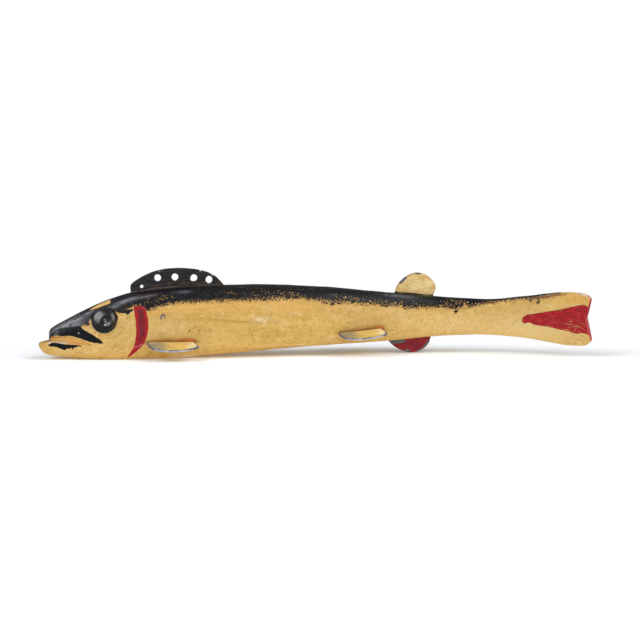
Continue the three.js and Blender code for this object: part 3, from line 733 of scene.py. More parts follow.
def root_stain_and_crease_shade(place, skin, fin):
    """Dirt and varnish over a side fin's root, with painted shade in the crease, more of it towards the rear.
    """
    route = root_route(skin, fin)
    away, along = line_distance(place, route)
    over = np.interp(place[:, 0], [p[0] for p in route], [p[1] for p in route]) - place[:, 1]
    near = 0.75 * np.exp(-((away / 1.2) ** 2)) + 0.35 * np.exp(-((away / 2.7) ** 2))
    return near * smooth_step(over, -0.6, 0.1) * (0.6 + 0.4 * along**1.5)


def paint_fields(skin, place, side, eye_distance, eye_height):
    """Where each paint, stain and wear lies, as fields over the body's points."""
    over_the_back = -12.0
    front = BACK_EDGE[0][0] - 4
    crown_back = [(BACK_EDGE[-1][0], over_the_back), (front, over_the_back)]
    crown_back.append((front, skin.girth_of(*BACK_EDGE[0])))
    lip_and_cheek = [inside_distance(place, skin.laid_out(outline)) for outline in (LIP_STROKE, CHEEK_DAB)]
    shown = np.where(side <= 0, 1.0, 0.0)
    other = place + np.array([(1 - shown), np.zeros(len(place))]).T * HIDDEN_SIDE_SHIFT
    stations, heights = skin.s.ravel(), skin.z.ravel()
    lip = widest_at(stations) + lip_at(stations)
    cove = smooth_step(lip - heights, -0.2, 1.8) * (heights >= widest_at(stations) - 0.02)
    cove *= smooth_step(stations, SNOUT_START - 0.1, SNOUT_START + 1) * smooth_step(-stations, -25, -19)
    fields = {
        "skin": np.stack([place[:, 0], place[:, 1], skin.across.ravel()], axis=1),
        "back": inside_distance(place, skin.laid_out(BACK_EDGE) + crown_back),
        "strokes": np.maximum(*lip_and_cheek),
        "end_face": skin.end_face.ravel(),
        "eye": np.minimum(eye_distance - EYE_DIAMETER / 2, EYE_FAR_OFF),
        "below_eye": -eye_height,
        "cove": cove,
        "fin_root_stain_and_shade": np.maximum(*(root_stain_and_crease_shade(place, skin, fin) for fin in SIDE_FINS)),
        "ridge_shadow": line_distance(place, skin.laid_out(RIDGE_SHADOW_LINE))[0] + (1 - shown) * FAR_OFF,
        "station": stations,
        "height": heights,
        "shown": shown,
    }
    for name, outline in PAINT_OUTLINES.items():
        fields[name] = inside_distance(place, skin.laid_out(outline))
    for name, line in MARK_LINES.items():
        fields[name] = line_distance(place, skin.laid_out(line))[0]
    for name, spots in SHIFTED_PATCHES.items():
        fields[name] = patches(other, skin, spots)
    for name, spots in SHOWN_PATCHES.items():
        fields[name] = patches(place, skin, spots) * shown
    for name, spots in EVEN_PATCHES.items():
        fields[name] = patches(place, skin, spots)
    return fields


def centripetal_curve(points, steps):
    """A centripetal Catmull-Rom curve through points, with steps points on each stretch."""
    knots = np.array(points, float)
    knots = np.vstack([2 * knots[0] - knots[1], knots, 2 * knots[-1] - knots[-2]])
    made = []
    for p0, p1, p2, p3 in zip(knots, knots[1:], knots[2:], knots[3:]):
        d0, d1, d2 = (math.sqrt(np.linalg.norm(b - a)) for a, b in ((p0, p1), (p1, p2), (p2, p3)))
        start = ((p1 - p0) / d0 - (p2 - p0) / (d0 + d1) + (p2 - p1) / d1) * d1
        end = ((p2 - p1) / d1 - (p3 - p1) / (d1 + d2) + (p3 - p2) / d2) * d1
        for t in np.arange(steps) / steps:
            bend = (3 * (p2 - p1) - 2 * start - end) * t**2 + (2 * (p1 - p2) + start + end) * t**3
            made.append(p1 + start * t + bend)
    return [*made, knots[-2]]


def resampled(corners, step):
    """A closed outline with points about a step apart."""
    made = []
    for a, b in zip(corners, np.roll(corners, -1, axis=0)):
        count = max(1, round(np.linalg.norm(b - a) / step))
        made += [a + (b - a) * i / count for i in range(count)]
    return np.array(made)


def inward(outline):
    """Directions square to a closed outline that runs anticlockwise, pointing into it."""
    tangent = np.roll(outline, -1, axis=0) - np.roll(outline, 1, axis=0)
    tangent /= np.maximum(np.linalg.norm(tangent, axis=1), 1e-9)[:, None]
    return np.stack([-tangent[:, 1], tangent[:, 0]], axis=1)


def anticlockwise(outline):
    x, y = outline[:, 0], outline[:, 1]
    area = (x * np.roll(y, -1) - np.roll(x, -1) * y).sum()
    return outline if area > 0 else outline[::-1]


def hole_outline(x, y, diameter, tear=(0, 0, 20), tall=1.0, seed=0):
    """A punched hole, not quite round. tear is how far it is torn, in which direction and how wide."""
    angle = np.linspace(0, 2 * math.pi, HOLE_SIDES, endpoint=False)
    far, direction, spread = tear
    off = (np.degrees(angle) - direction + 180) % 360 - 180
    wobble = 0.012 * np.sin(3 * angle + seed) + 0.008 * np.sin(5 * angle + 2 * seed)
    radius = diameter / 2 * (1 + wobble) + far * np.exp(-((off / spread) ** 2))
    return np.stack([x + radius * np.cos(angle), y + radius * np.sin(angle) * tall], axis=1)


def on_plane(flat):
    """Flat points as points in space, at height 0."""
    return np.pad(flat, ((0, 0), (0, 1)))


def plate(name, outline, holes, place, seed, marks):
    """A fin of sheet metal: cut and slightly worn edges, punched holes, not quite flat.

    place is the fin's origin and its directions along, out and across. marks gives further fields by name.
    """
    outline = anticlockwise(resampled(anticlockwise(np.array(outline)), PLATE_STEP))
    worn = (1 + Waves(PLATE_WEAR_LENGTH, seed)(on_plane(outline)) / 2).clip(0, 1.5)
    wear = PLATE_WEAR_LEAST + PLATE_WEAR_MORE * worn
    outline = outline + inward(outline) * (wear * (outline[:, 1] > outline[:, 1].min() + 2))[:, None]
    loops = [outline, *holes]

    def edge_distance(points):
        away = inside_distance(points, outline)
        for hole in holes:
            away = np.minimum(away, -inside_distance(points, hole))
        return away

    points = list(loops)
    for offset in PLATE_EDGE_LOOPS:
        for number, loop in enumerate(loops):
            moved = loop + inward(loop) * (offset if number == 0 else -offset)
            points.append(moved[edge_distance(moved) > offset * 0.85])
    low, high = outline.min(axis=0), outline.max(axis=0)
    columns, rows = (np.arange(low[i], high[i], PLATE_STEP * 1.4) for i in (0, 1))
    grid = np.stack(np.meshgrid(columns, rows), axis=-1).reshape(-1, 2)
    grid[::2, 1] += PLATE_STEP * 0.7
    points.append(grid[edge_distance(grid) > PLATE_GRID_MARGIN])

    bounds, first = [], 0
    for loop in loops:
        bounds += [(first + i, first + (i + 1) % len(loop)) for i in range(len(loop))]
        first += len(loop)
    flat = [Vector(point) for group in points for point in group]
    verts, _, faces, *_ = delaunay_2d_cdt(flat, bounds, [], 0, 1e-5)
    verts = np.array([tuple(v) for v in verts])
    away = edge_distance(verts)
    away[np.abs(away) < 1e-3] = 0
    centres = np.array([verts[list(face)].mean(axis=0) for face in faces])
    kept = [face for face, inside in zip(faces, edge_distance(centres) > 0) if inside]

    half = SHEET / 2 * np.sqrt(1 - (1 - np.clip(away / SHEET_EDGE_ROUND, 0, 1)) ** 2)
    bend = PLATE_BEND * Waves(PLATE_BEND_LENGTH, seed + 1)(on_plane(verts)) * np.clip(verts[:, 1] / 4, 0, 1)
    bend += PLATE_RIPPLE * Waves(PLATE_RIPPLE_LENGTH, seed + 2)(on_plane(verts))
    origin, along, out = place
    across = np.cross(along, out)
    inner = np.flatnonzero(away > 0)
    twin = np.arange(len(verts))
    twin[inner] = len(verts) + np.arange(len(inner))

    def placed(chosen, sign):
        x, y = verts[chosen].T
        lift = bend[chosen] + sign * half[chosen]
        return origin + np.outer(x, along) + np.outer(y, out) + np.outer(lift, across)

    every = np.arange(len(verts))
    both = np.vstack([placed(every, 1), placed(inner, -1)])
    tops = [tuple(face) for face in kept]
    unders = [tuple(int(twin[v]) for v in reversed(face)) for face in kept]
    source = np.r_[every, inner]
    face_sign = np.r_[np.where(away > 0, 1.0, 0.0), np.full(len(inner), -1.0)]
    shown = face_sign * (1 if across @ FIN_SHOWN_FROM > 0 else -1)
    fields = {
        "plate": np.stack([verts[source, 0], verts[source, 1], shown * 3], axis=1),
        "edge": away[source],
    }
    for key, values in marks(verts).items():
        fields[key] = values[source]
    made = make_mesh(name, both, tops + unders, fields)
    drop_loose_points(made.data)
    return made


def drop_loose_points(mesh):
    """Takes out points that no face uses, such as those inside a punched hole."""
    work = bmesh.new()
    work.from_mesh(mesh)
    bmesh.ops.delete(work, geom=[v for v in work.verts if not v.link_faces], context="VERTS")
    work.to_mesh(mesh)
    work.free()


def upright_place(share, length, up):
    """The place of a fin on the middle line: its origin at the front of its root, at ground height."""
    middle = share * BODY_LENGTH + length / 2
    turn = float(turn_at(middle))
    along = np.array((math.cos(turn), -math.sin(turn), 0))
    return body_point(middle, 0, 0) - along * length / 2, along, np.array((0, 0, up))


def spots_on(points, spots):
    """Soft oval spots on a fin: x, y, reach along, reach up, strength."""
    total = np.zeros(len(points))
    for x, y, reach_x, reach_y, strength in spots:
        away = np.hypot((points[:, 0] - x) / reach_x, (points[:, 1] - y) / reach_y)
        total = np.maximum(total, strength * np.exp(-(away**2)))
    return total


def upright_fin(name, share, length, rise, edge, line_at, up, tang, holes, seed, spots):
    """A fin set in a kerf on the middle line. holes are places as shares, with a hole's own values."""
    start = share * BODY_LENGTH

    def height_at(x):
        return up * line_at(start + np.clip(x, 0, length))

    corners = [(a * length, b * rise) for a, b in edge]
    curve = [(x, y + height_at(x)) for x, y in centripetal_curve(corners, CURVE_STEPS)]
    foot = min(height_at(0.0), height_at(length)) - tang
    outline = [*curve, (length, foot), (0, foot)]
    rounds = []
    for (along, out), diameter, values in holes:
        x = along * length
        rounds.append(anticlockwise(hole_outline(x, height_at(x) + out * rise, diameter, **values)))

    def marks(verts):
        above = np.stack([verts[:, 0], verts[:, 1] - height_at(verts[:, 0])], axis=1)
        punched = np.full(len(verts), FAR_OFF)
        for hole in rounds:
            punched = np.minimum(punched, -inside_distance(verts, hole))
        return {"above": above[:, 1], "bare": spots_on(above, spots), "hole": punched}

    return plate(name, outline, rounds, upright_place(share, length, up), seed, marks)


def side_fin(name, side, share, height, rise, length, reach, droop, seed):
    """A paired fin: a straight root on the skin, from which the plate slopes down and out."""
    front, rear, _ = side_fin_root(side, share, height, rise, length)
    along = (rear - front) / np.linalg.norm(rear - front)
    down = np.array((0, side * math.cos(droop), -math.sin(droop)))
    out = down - along * (down @ along)
    out /= np.linalg.norm(out)
    curve = centripetal_curve([(a * length, b * reach) for a, b in SIDE_EDGE], CURVE_STEPS)
    outline = [*map(tuple, curve), (length, -SIDE_TANG), (0, -SIDE_TANG)]

    def marks(verts):
        return {"above": verts[:, 1], "along": verts[:, 0] / length}

    return plate(name, outline, [], (front, along, out), seed, marks)


def eye_piece(name, side, seed):
    """A round tack: a domed head with a shallow dimple in its middle, knocked about a little."""
    seat, normal = eye_place(side)
    up = np.array((0, 0, 1.0)) - normal * normal[2]
    up /= np.linalg.norm(up)
    rear = np.cross(up, normal) * -side
    radius, dimple, floor = EYE_DIAMETER / 2, EYE_DIMPLE / 2, EYE_DIMPLE_FLOOR / 2

    def dome_at(r):
        return EYE_RIM + (EYE_DOME - EYE_RIM) * math.sqrt(1 - (r / radius) ** 2)

    rings = [(radius, 0), (radius, EYE_RIM / 2)]
    for step in range(EYE_DOME_STEPS):
        r = radius * math.cos(math.acos(dimple / radius) * step / EYE_DOME_STEPS)
        rings.append((r, dome_at(r)))
    for step in range(EYE_DIMPLE_STEPS + 1):
        down = step / EYE_DIMPLE_STEPS
        sunk = EYE_DIMPLE_DEPTH * EYE_DIMPLE_SHARE * down * down * (3 - 2 * down)
        rings.append((dimple + (floor - dimple) * down, dome_at(dimple) - sunk))
    rings += [(floor * share, rings[-1][1]) for share in (0.8, 0.6, 0.4, 0.2)]

    angle = np.linspace(0, 2 * math.pi, EYE_SIDES, endpoint=False)
    radii, heights = np.array(rings).T
    u = np.outer(radii, np.cos(angle)).ravel()
    v = np.outer(radii, np.sin(angle)).ravel()
    h = np.repeat(heights, EYE_SIDES)
    u, v, h = np.r_[u, 0, 0], np.r_[v, 0, 0], np.r_[h, heights[-1], 0]
    # the dimple was not struck quite in the middle
    off_centre = smooth_step(-np.hypot(u, v), -radius, -dimple) * (h > 0)
    u += EYE_DIMPLE_SHIFT[0] * off_centre
    v += EYE_DIMPLE_SHIFT[1] * off_centre
    knocks = Waves(EYE_KNOCK_LENGTH, seed)(np.stack([u, v, h], axis=1))
    knocks = knocks * EYE_KNOCKS * smooth_step(h, 0.4, 1.2)
    points = seat + np.outer(u, rear) + np.outer(v, up) + np.outer(h - EYE_SUNK + knocks, normal)

    index = np.arange(len(rings) * EYE_SIDES).reshape(len(rings), EYE_SIDES)
    turned = np.roll(index, -1, axis=1)
    faces = np.stack([index[:-1], turned[:-1], turned[1:], index[1:]], axis=-1).reshape(-1, 4).tolist()
    top, back = len(points) - 2, len(points) - 1
    faces += [[a, b, top] for a, b in zip(index[-1].tolist(), turned[-1].tolist())]
    faces += [[b, a, back] for a, b in zip(index[0].tolist(), turned[0].tolist())]
    if side > 0:
        faces = [face[::-1] for face in faces]
    return make_mesh(name, points, faces, {"disc": np.stack([u, v, h], axis=1)})


def srgb(red, green, blue):
    """The colour that looks like this on a screen once the studio's light falls on it, in linear light."""
    parts = [c / 255 for c in (red, green, blue)]
    linear = [p / 12.92 if p <= 0.04045 else ((p + 0.055) / 1.055) ** 2.4 for p in parts]
    return (*(value / STUDIO_GAIN for value in linear), 1.0)


class Paint:
    """A material's nodes, added by short calls that each give back an output. Lengths are millimetres.

    A tone is an output, or the red, green and blue that it looks like on a screen, from 0 to 255.
    """

    def __init__(self, name, specular):
        self.material = bpy.data.materials.new(name)
        self.material.use_nodes = True
        self.tree = self.material.node_tree
        self.shader = self.tree.nodes["Principled BSDF"]
        self.shader.inputs["Specular IOR Level"].default_value = specular
        self.seeds = 0
        self.colour = None

    def put(self, socket, value):
        if isinstance(value, bpy.types.NodeSocket):
            self.tree.links.new(value, socket)
        else:
            socket.default_value = value

    def node(self, kind, inputs, output=0, **settings):
        made = self.tree.nodes.new(kind)
        for key, value in settings.items():
            setattr(made, key, value)
        for key, value in inputs.items():
            self.put(made.inputs[key], value)
        return made.outputs[output]

    def field(self, name):
        return self.node("ShaderNodeAttribute", {}, "Fac", attribute_name=name)

    def place(self, name):
        return self.node("ShaderNodeAttribute", {}, "Vector", attribute_name=name)

    def calc(self, operation, a, b=0.0):
        return self.node("ShaderNodeMath", {0: a, 1: b}, operation=operation)

    def times(self, *values):
        product = values[0]
        for value in values[1:]:
            product = self.calc("MULTIPLY", product, value)
        return product

    def plus(self, *values):
        total = values[0]
        for value in values[1:]:
            total = self.calc("ADD", total, value)
        return total

    def band(self, value, low, high, start=0.0, end=1.0):
        """A smooth change from start to end as value goes from low to high."""
        inputs = {"Value": value, "From Min": low, "From Max": high, "To Min": start, "To Max": end}
        return self.node("ShaderNodeMapRange", inputs, interpolation_type="SMOOTHSTEP")

    def turned(self, vector, degrees):
        """The same place in a frame turned in the plane of the skin, for slanted marks."""
        inputs = {"Vector": vector, "Angle": math.radians(degrees)}
        return self.node("ShaderNodeVectorRotate", inputs, rotation_type="Z_AXIS")

    def noise(self, vector, size, detail=2.0, roughness=0.55):
        """Cloudy noise around 0.5. size is one length, or one along each direction."""
        sizes = size if isinstance(size, tuple) else (size, size, size)
        self.seeds += 1
        shift = (SEED * 3.1 + self.seeds * 17.3, self.seeds * 5.7, self.seeds * 9.1)
        scale = tuple(1 / s for s in sizes)
        moved = self.node("ShaderNodeVectorMath", {0: vector, 1: scale, 2: shift}, operation="MULTIPLY_ADD")
        inputs = {"Vector": moved, "Scale": 1.0, "Detail": detail, "Roughness": roughness}
        return self.node("ShaderNodeTexNoise", inputs)

    def wander(self, value, noise, reach):
        """A distance whose edge is moved in and out by a noise, up to about reach."""
        return self.plus(value, self.times(self.plus(noise, -0.5), 2 * reach))

    def spot(self, vector, middle, reach, noise=None, uneven=0.0):
        """How far a place is from an oval spot's middle, 1 at its outline, which a noise makes uneven."""
        offset = self.node("ShaderNodeVectorMath", {0: vector, 1: (*middle, 0)}, operation="SUBTRACT")
        scale = (1 / reach[0], 1 / reach[1], 0)
        scaled = self.node("ShaderNodeVectorMath", {0: offset, 1: scale}, operation="MULTIPLY")
        away = self.node("ShaderNodeVectorMath", {0: scaled}, "Value", operation="LENGTH")
        return away if noise is None else self.wander(away, noise, uneven)

    def mix(self, factor, first, second):
        """A blend of two tones, all the second one where factor is 1."""
        first, second = (srgb(*tone) if isinstance(tone, tuple) else tone for tone in (first, second))
        return self.node("ShaderNodeMix", {0: factor, 6: first, 7: second}, 2, data_type="RGBA")

    def coat(self, cover, tone):
        """Lays a tone over the colour so far. cover says how much of it shows, from 0 to 1."""
        self.colour = self.mix(cover, self.colour, tone)

    def finish(self, roughness, relief):
        """Joins the layers up to the shader. relief is the height of the surface in millimetres."""
        self.put(self.shader.inputs["Base Color"], self.colour)
        self.put(self.shader.inputs["Roughness"], roughness)
        bump = self.node("ShaderNodeBump", {"Height": relief, "Distance": MM, "Strength": 1.0})
        self.put(self.shader.inputs["Normal"], bump)
        return self.material


def body_noises(p):
    """The clouds, streaks and specks that the body's paints share, by name."""
    skin = p.place("skin")
    slant = p.turned(skin, 48)
    return SimpleNamespace(
        skin=skin,
        slant=slant,
        clouds=p.noise(skin, (22, 7, 7), 3),
        brushed=p.noise(skin, (13, 0.8, 0.8), 3),
        mottle=p.noise(skin, 2.4, 4, 0.65),
        grain=p.noise(skin, 0.95, 4, 0.7),
        hand=p.noise(skin, 1.3, 3),
        dabs=p.noise(slant, (1.6, 0.36, 0.6), 4, 0.62),
        worn=p.noise(p.turned(skin, 20), (4, 0.5, 0.5), 4, 0.65),
        bristle=p.noise(p.turned(skin, -3), (9, 0.3, 0.3), 3, 0.6),
    )


def ochre_ground(p, n):
    """Ochre paint: clouds, brush marks along the body, a mottle, varied tones, painted shade and light in
    places.
    """
    p.colour = p.mix(p.band(n.clouds, 0.36, 0.66), (212, 171, 89), (223, 183, 104))
    drift = p.noise(n.skin, (14, 3, 3), 3, 0.6)
    p.coat(p.band(drift, 0.52, 0.66, 0, 0.65), (227, 190, 128))
    p.coat(p.band(drift, 0.47, 0.34, 0, 0.6), (210, 162, 70))
    p.coat(p.band(n.brushed, 0.45, 0.75, 0, 0.45), (200, 156, 76))
    p.coat(p.band(n.mottle, 0.5, 0.7, 0, 0.6), (188, 146, 72))
    p.coat(p.band(n.mottle, 0.48, 0.3, 0, 0.6), (236, 200, 128))
    blotches = p.band(p.noise(n.skin, (2.2, 1.1, 1.1), 3), 0.62, 0.7, 0, 0.55)
    p.coat(p.times(blotches, p.band(p.field("station"), 95, 150)), (196, 128, 60))
    # some of these tints are painted shade below the ridge and painted light on the tail and along the keel
    for name, cloud, limits, tone in (
        ("orange", n.brushed, (0.25, 0.7, 1, 0.5), (231, 176, 92)),
        ("olive_and_facet_shade", n.clouds, (0.3, 0.6, 0.95, 0.45), (204, 165, 82)),
        ("grey", n.mottle, (0.3, 0.7, 0.45, 0.8), (208, 176, 110)),
        ("pale", n.clouds, (0.3, 0.7, 1, 0.75), (230, 198, 134)),
        ("warm_bounce_light", n.mottle, (0.3, 0.7, 0.8, 0.4), (228, 180, 92)),
    ):
        p.coat(p.times(p.field(name), p.band(cloud, *limits)), tone)
    # a dark line along the side's ridge, a painted shadow
    broken = p.noise(n.skin, (7, 1.2, 1.2), 2)
    ridge_shadow = p.times(p.band(p.field("ridge_shadow"), 0.8, 0.1), p.band(broken, 0.36, 0.56, 0.1, 0.7))
    p.coat(ridge_shadow, (184, 145, 70))
    p.coat(p.band(n.grain, 0.44, 0.3, 0, 0.55), (236, 202, 132))
    p.coat(p.band(n.grain, 0.54, 0.68, 0, 0.5), (176, 134, 64))


def dirt_and_scuffs(p, n):
    """Smudges, specks, scratches, varnish, painted shade at fin roots and mouth, painted highlights, scuffs.
    """
    dirt = p.field("dirt")
    smudge = p.plus(p.noise(n.skin, 1.1, 5, 0.7), p.times(dirt, 0.15))
    p.coat(p.band(smudge, 0.58, 0.76, 0, 0.75), (142, 106, 54))
    swarms = p.times(p.plus(p.noise(n.skin, (9, 4, 4), 2), -0.5), 0.3)
    specks = p.plus(p.noise(n.skin, 0.5, 2, 0.6), p.times(dirt, 0.08), swarms)
    p.coat(p.band(specks, 0.7, 0.77, 0, 0.75), (108, 80, 42))
    scratches = p.noise(p.turned(n.skin, -4), (7, 0.16, 0.16), 1)
    p.coat(p.band(scratches, 0.71, 0.78, 0, 0.5), (120, 92, 52))

    # dirt and varnish over the side fins' roots, darkest at the crease, where it is partly painted shade
    fin_root_stain_and_shade = p.times(p.field("fin_root_stain_and_shade"), p.band(n.mottle, 0.25, 0.6, 0.75, 1.15))
    p.coat(p.band(fin_root_stain_and_shade, 0.04, 0.5, 0, 0.75), (174, 128, 64))
    p.coat(p.band(fin_root_stain_and_shade, 0.42, 0.85, 0, 0.9), (172, 98, 48))
    stain_end = p.wander(p.field("stain_end"), n.hand, 0.3)
    p.coat(p.band(stain_end, 0.25, 0.75, 0, 0.9), (208, 118, 36))
    bare = p.band(p.wander(p.field("rubbed_bare"), n.grain, 0.5), 0.4, 0.6, 0, 0.85)
    p.coat(bare, (222, 200, 182))
    cove = p.field("cove")
    p.coat(p.band(cove, 0.0, 0.3, 0, 0.5), (222, 174, 92))
    # a darker line along the mouth's groove, a painted shadow under the upper lip
    line = p.times(p.band(cove, 0.3, 0.5), p.band(cove, 0.8, 0.6), p.band(n.mottle, 0.3, 0.6, 0.5, 0.85))
    p.coat(line, (166, 130, 64))
    corner = p.band(p.field("station"), 8, 18, 0.15, 0.75)
    p.coat(p.times(p.band(cove, 0.72, 0.92), corner), (228, 156, 82))
    # a pale line along the lower jaw's upper edge, a painted highlight where the ledge catches the light
    height, station = p.wander(p.field("height"), n.hand, 0.25), p.field("station")
    lip = p.times(p.band(height, 6.95, 7.15), p.band(height, 7.7, 7.5))
    lip = p.times(lip, p.band(station, 3, 4.5), p.band(station, 14, 9))
    p.coat(p.times(lip, 0.75), (226, 212, 206))

    # pale scuffs, partly worn paint and partly a painted highlight over the ridge
    scuffs_and_ridge_highlight = p.field("scuffs_and_ridge_highlight")
    rubbed = p.plus(p.noise(n.skin, (0.4, 0.3, 0.3), 3, 0.7), p.times(scuffs_and_ridge_highlight, 0.2))
    pale = p.times(p.band(rubbed, 0.64, 0.73), p.band(scuffs_and_ridge_highlight, 0.05, 0.3, 0, 0.95))
    p.coat(pale, (246, 232, 204))


def black_back(p, n):
    """The black back, dabbed on in slanted strokes with ochre flecks, worn grey and painted sheen in places.
    """
    back, station = p.field("back"), p.field("station")
    stippled = p.band(station, 36, 47)
    ragged = p.noise(n.skin, (5, 1.8, 1.8), 2)
    strokes = p.plus(n.dabs, -0.5)
    reach = p.times(p.band(stippled, 0, 1, 1.6, 8.2), p.band(station, 190, 212, 1, 0.6))
    edge = p.plus(p.wander(back, ragged, 0.7), p.times(strokes, reach))
    clusters = p.noise(n.skin, (7, 2.4, 2.4), 2)
    fleck_noise = p.noise(n.slant, (0.95, 0.52, 0.62), 3, 0.6)
    level = p.plus(p.band(back, 0.2, 2.5, 0.62, 0.67), p.band(stippled, 1, 0, 0, 0.02))
    level = p.plus(level, p.times(p.field("flecked"), -0.06), p.band(clusters, 0.38, 0.62, 0.045, -0.04))
    flecks = p.band(p.calc("SUBTRACT", fleck_noise, level), 0, 0.018)
    black = p.times(p.band(edge, -0.05, 0.08), p.calc("SUBTRACT", 1.0, flecks))
    stray_level = p.plus(p.band(back, -0.1, -2.6, 0.575, 0.76), p.times(p.field("strays"), -0.28))
    strays = p.band(p.calc("SUBTRACT", p.noise(n.slant, (0.9, 0.34, 0.5), 2), stray_level), 0, 0.03)
    black = p.calc("MAXIMUM", black, p.times(strays, stippled))

    dabs = p.noise(n.slant, (0.9, 0.4, 0.5), 3)
    fringe = p.times(p.band(edge, -1.1, 0), p.band(dabs, 0.46, 0.56, 0.12, 0.85))
    p.coat(fringe, (150, 86, 42))
    rust = p.times(p.band(p.field("rust"), 0.9, 0.3), p.band(n.hand, 0.35, 0.6, 0.4, 1))
    tail_rust = p.times(p.band(p.field("tail_rust"), 0.7, 0.2), p.band(n.bristle, 0.3, 0.55))
    rust = p.calc("MAXIMUM", rust, tail_rust)
    p.coat(p.times(rust, 0.85), (140, 78, 40))
    golden = p.mix(p.band(n.hand, 0.38, 0.6), (240, 196, 122), (198, 142, 78))
    p.coat(p.times(flecks, p.band(back, -0.1, 0.4)), golden)

    # grey patches on the black, partly worn paint and partly a painted sheen where glossy paint catches the
    # light
    grey = p.times(p.field("black_wear_and_sheen"), p.band(n.worn, 0.32, 0.55))
    base = p.mix(p.band(n.worn, 0.5, 0.78, 0, 0.5), (15, 16, 21), (54, 55, 60))
    base = p.mix(p.band(n.grain, 0.56, 0.72, 0, 0.4), base, (78, 72, 68))
    base = p.mix(p.times(grey, 0.95), base, (150, 153, 163))
    p.coat(black, base)
    return black


def crisp_strokes(p, n):
    """The bare ochre patch over the brow, and the shiny black strokes of the lips and the cheek."""
    brow = p.band(p.wander(p.field("brow"), n.hand, 0.3), -0.08, 0.08)
    golden = p.mix(p.band(n.hand, 0.35, 0.65), (226, 178, 94), (238, 204, 134))
    brow_colour = p.mix(p.band(p.wander(p.field("brow"), n.grain, 0.25), 0.1, 0.45), (196, 132, 58), golden)
    p.coat(brow, brow_colour)
    p.coat(p.times(brow, p.band(n.dabs, 0.64, 0.72, 0, 0.7)), (110, 84, 50))
    strokes = p.band(p.wander(p.field("strokes"), n.hand, 0.3), -0.06, 0.08)
    bristles = p.noise(p.turned(n.skin, 60), (3, 0.35, 0.35), 2)
    below_edge = p.band(p.field("height"), 6.4, 5.4, 0.15, 1)
    jaw = p.wander(p.field("jaw_stroke"), n.hand, 0.15)
    jaw = p.band(p.plus(jaw, p.times(p.plus(bristles, -0.5), below_edge, 1.1)), -0.06, 0.08)
    lips = p.calc("MAXIMUM", strokes, jaw)
    p.coat(lips, (17, 18, 22))
    return lips


def red_paint(p, n):
    """The gill, darker along its middle as painted shade, the dry-brushed wedge on the tail, and the tail's
    end.
    """
    gill_depth = p.field("gill")
    gill = p.band(p.wander(gill_depth, n.hand, 0.25), -0.06, 0.08)
    # the middle of the gill's hollow darkened, a painted shade
    middle = p.band(p.wander(gill_depth, n.mottle, 1.2), 0.8, 1.7)
    upper = p.band(p.field("height"), 6, 16, 0.6, 0.9)
    middle = p.times(middle, upper, p.band(n.mottle, 0.35, 0.6, 0.6, 1))
    gill_red = p.mix(middle, (172, 12, 30), (92, 28, 36))
    gill_red = p.mix(p.band(n.grain, 0.56, 0.68, 0, 0.75), gill_red, (60, 20, 26))
    # pale pink specks on the gill, painted highlights
    gill_red = p.mix(p.band(n.grain, 0.4, 0.3, 0, 0.45), gill_red, (206, 84, 90))
    # a pink line below the step where the gill cut stops, a painted highlight
    crease = p.times(p.band(p.field("crease"), 0.55, 0.2), p.band(n.hand, 0.3, 0.5))
    gill_red = p.mix(crease, gill_red, (196, 88, 92))
    p.coat(gill, gill_red)

    station, height = p.field("station"), p.field("height")
    fingers = p.band(station, 209, 203.5, 0.7, 2.4)
    edge = p.plus(p.wander(p.field("wedge"), n.hand, 0.25), p.times(p.plus(n.bristle, -0.5), fingers))
    wedge = p.band(edge, -0.06, 0.1)
    dry = p.noise(n.skin, (3.5, 0.6, 0.6), 2)
    low = p.band(height, 17, 12)
    dryness = p.plus(n.bristle, p.times(dry, 0.7), p.times(low, 0.09))
    missed = p.times(p.band(dryness, 1.04, 1.1), p.band(station, 210, 220))
    wedge = p.times(wedge, p.band(missed, 0, 1, 1, 0.25))
    red = p.mix(p.band(n.bristle, 0.35, 0.65), (186, 16, 32), (134, 10, 20))
    streaks = p.noise(p.turned(n.skin, -3), (5, 0.22, 0.22), 2, 0.6)
    red = p.mix(p.band(streaks, 0.58, 0.7, 0, 0.7), red, (222, 108, 84))
    p.coat(wedge, red)
    end = p.band(p.wander(p.field("end_face"), n.hand, 0.3), 0.2, 0.28)
    # the end face paler towards its foot, painted light on the part that faces the light
    lit_lower_end = p.plus(p.band(height, 19, 14, 0, 0.35), n.hand)
    end_red = p.mix(p.band(lit_lower_end, 0.5, 0.85), (178, 20, 30), (206, 84, 88))
    p.coat(end, end_red)
    corner = p.times(p.band(p.field("corner"), 0.3, 0.6), p.band(n.grain, 0.35, 0.5, 0.5, 1))
    p.coat(corner, p.mix(p.band(n.hand, 0.5, 0.6), (226, 205, 186), (190, 96, 92)))
    return gill, wedge


def eye_surround(p, n):
    """Black above the eye, a rusty ring and a cream rim below with a painted highlight, painted shade at the
    seat.
    """
    eye, below = p.field("eye"), p.field("below_eye")
    ring = p.times(p.band(p.wander(eye, n.hand, 0.5), 1.5, 0.9), p.band(below, -0.2, 0.2))
    ring = p.times(ring, p.band(n.mottle, 0.4, 0.6))
    p.coat(p.times(ring, 0.8), (200, 138, 60))
    # cream rim on the bead below the eye: cream paint, partly lightened as a painted highlight
    rim = p.times(p.band(p.wander(eye, n.hand, 0.25), 0.55, 0.35), p.band(below, -0.35, 0.0))
    p.coat(p.times(rim, 0.9), (244, 219, 168))
    lashes = p.times(p.band(p.wander(eye, n.hand, 0.3), 0.6, 0.35), p.band(below, 0.1, -0.3))
    p.coat(lashes, (26, 25, 26))
    # a dark line round the tack, painted shade in the gap where the tack meets the wood
    seat = p.band(eye, 0.12, -0.05)
    p.coat(seat, (34, 28, 24))
    return seat


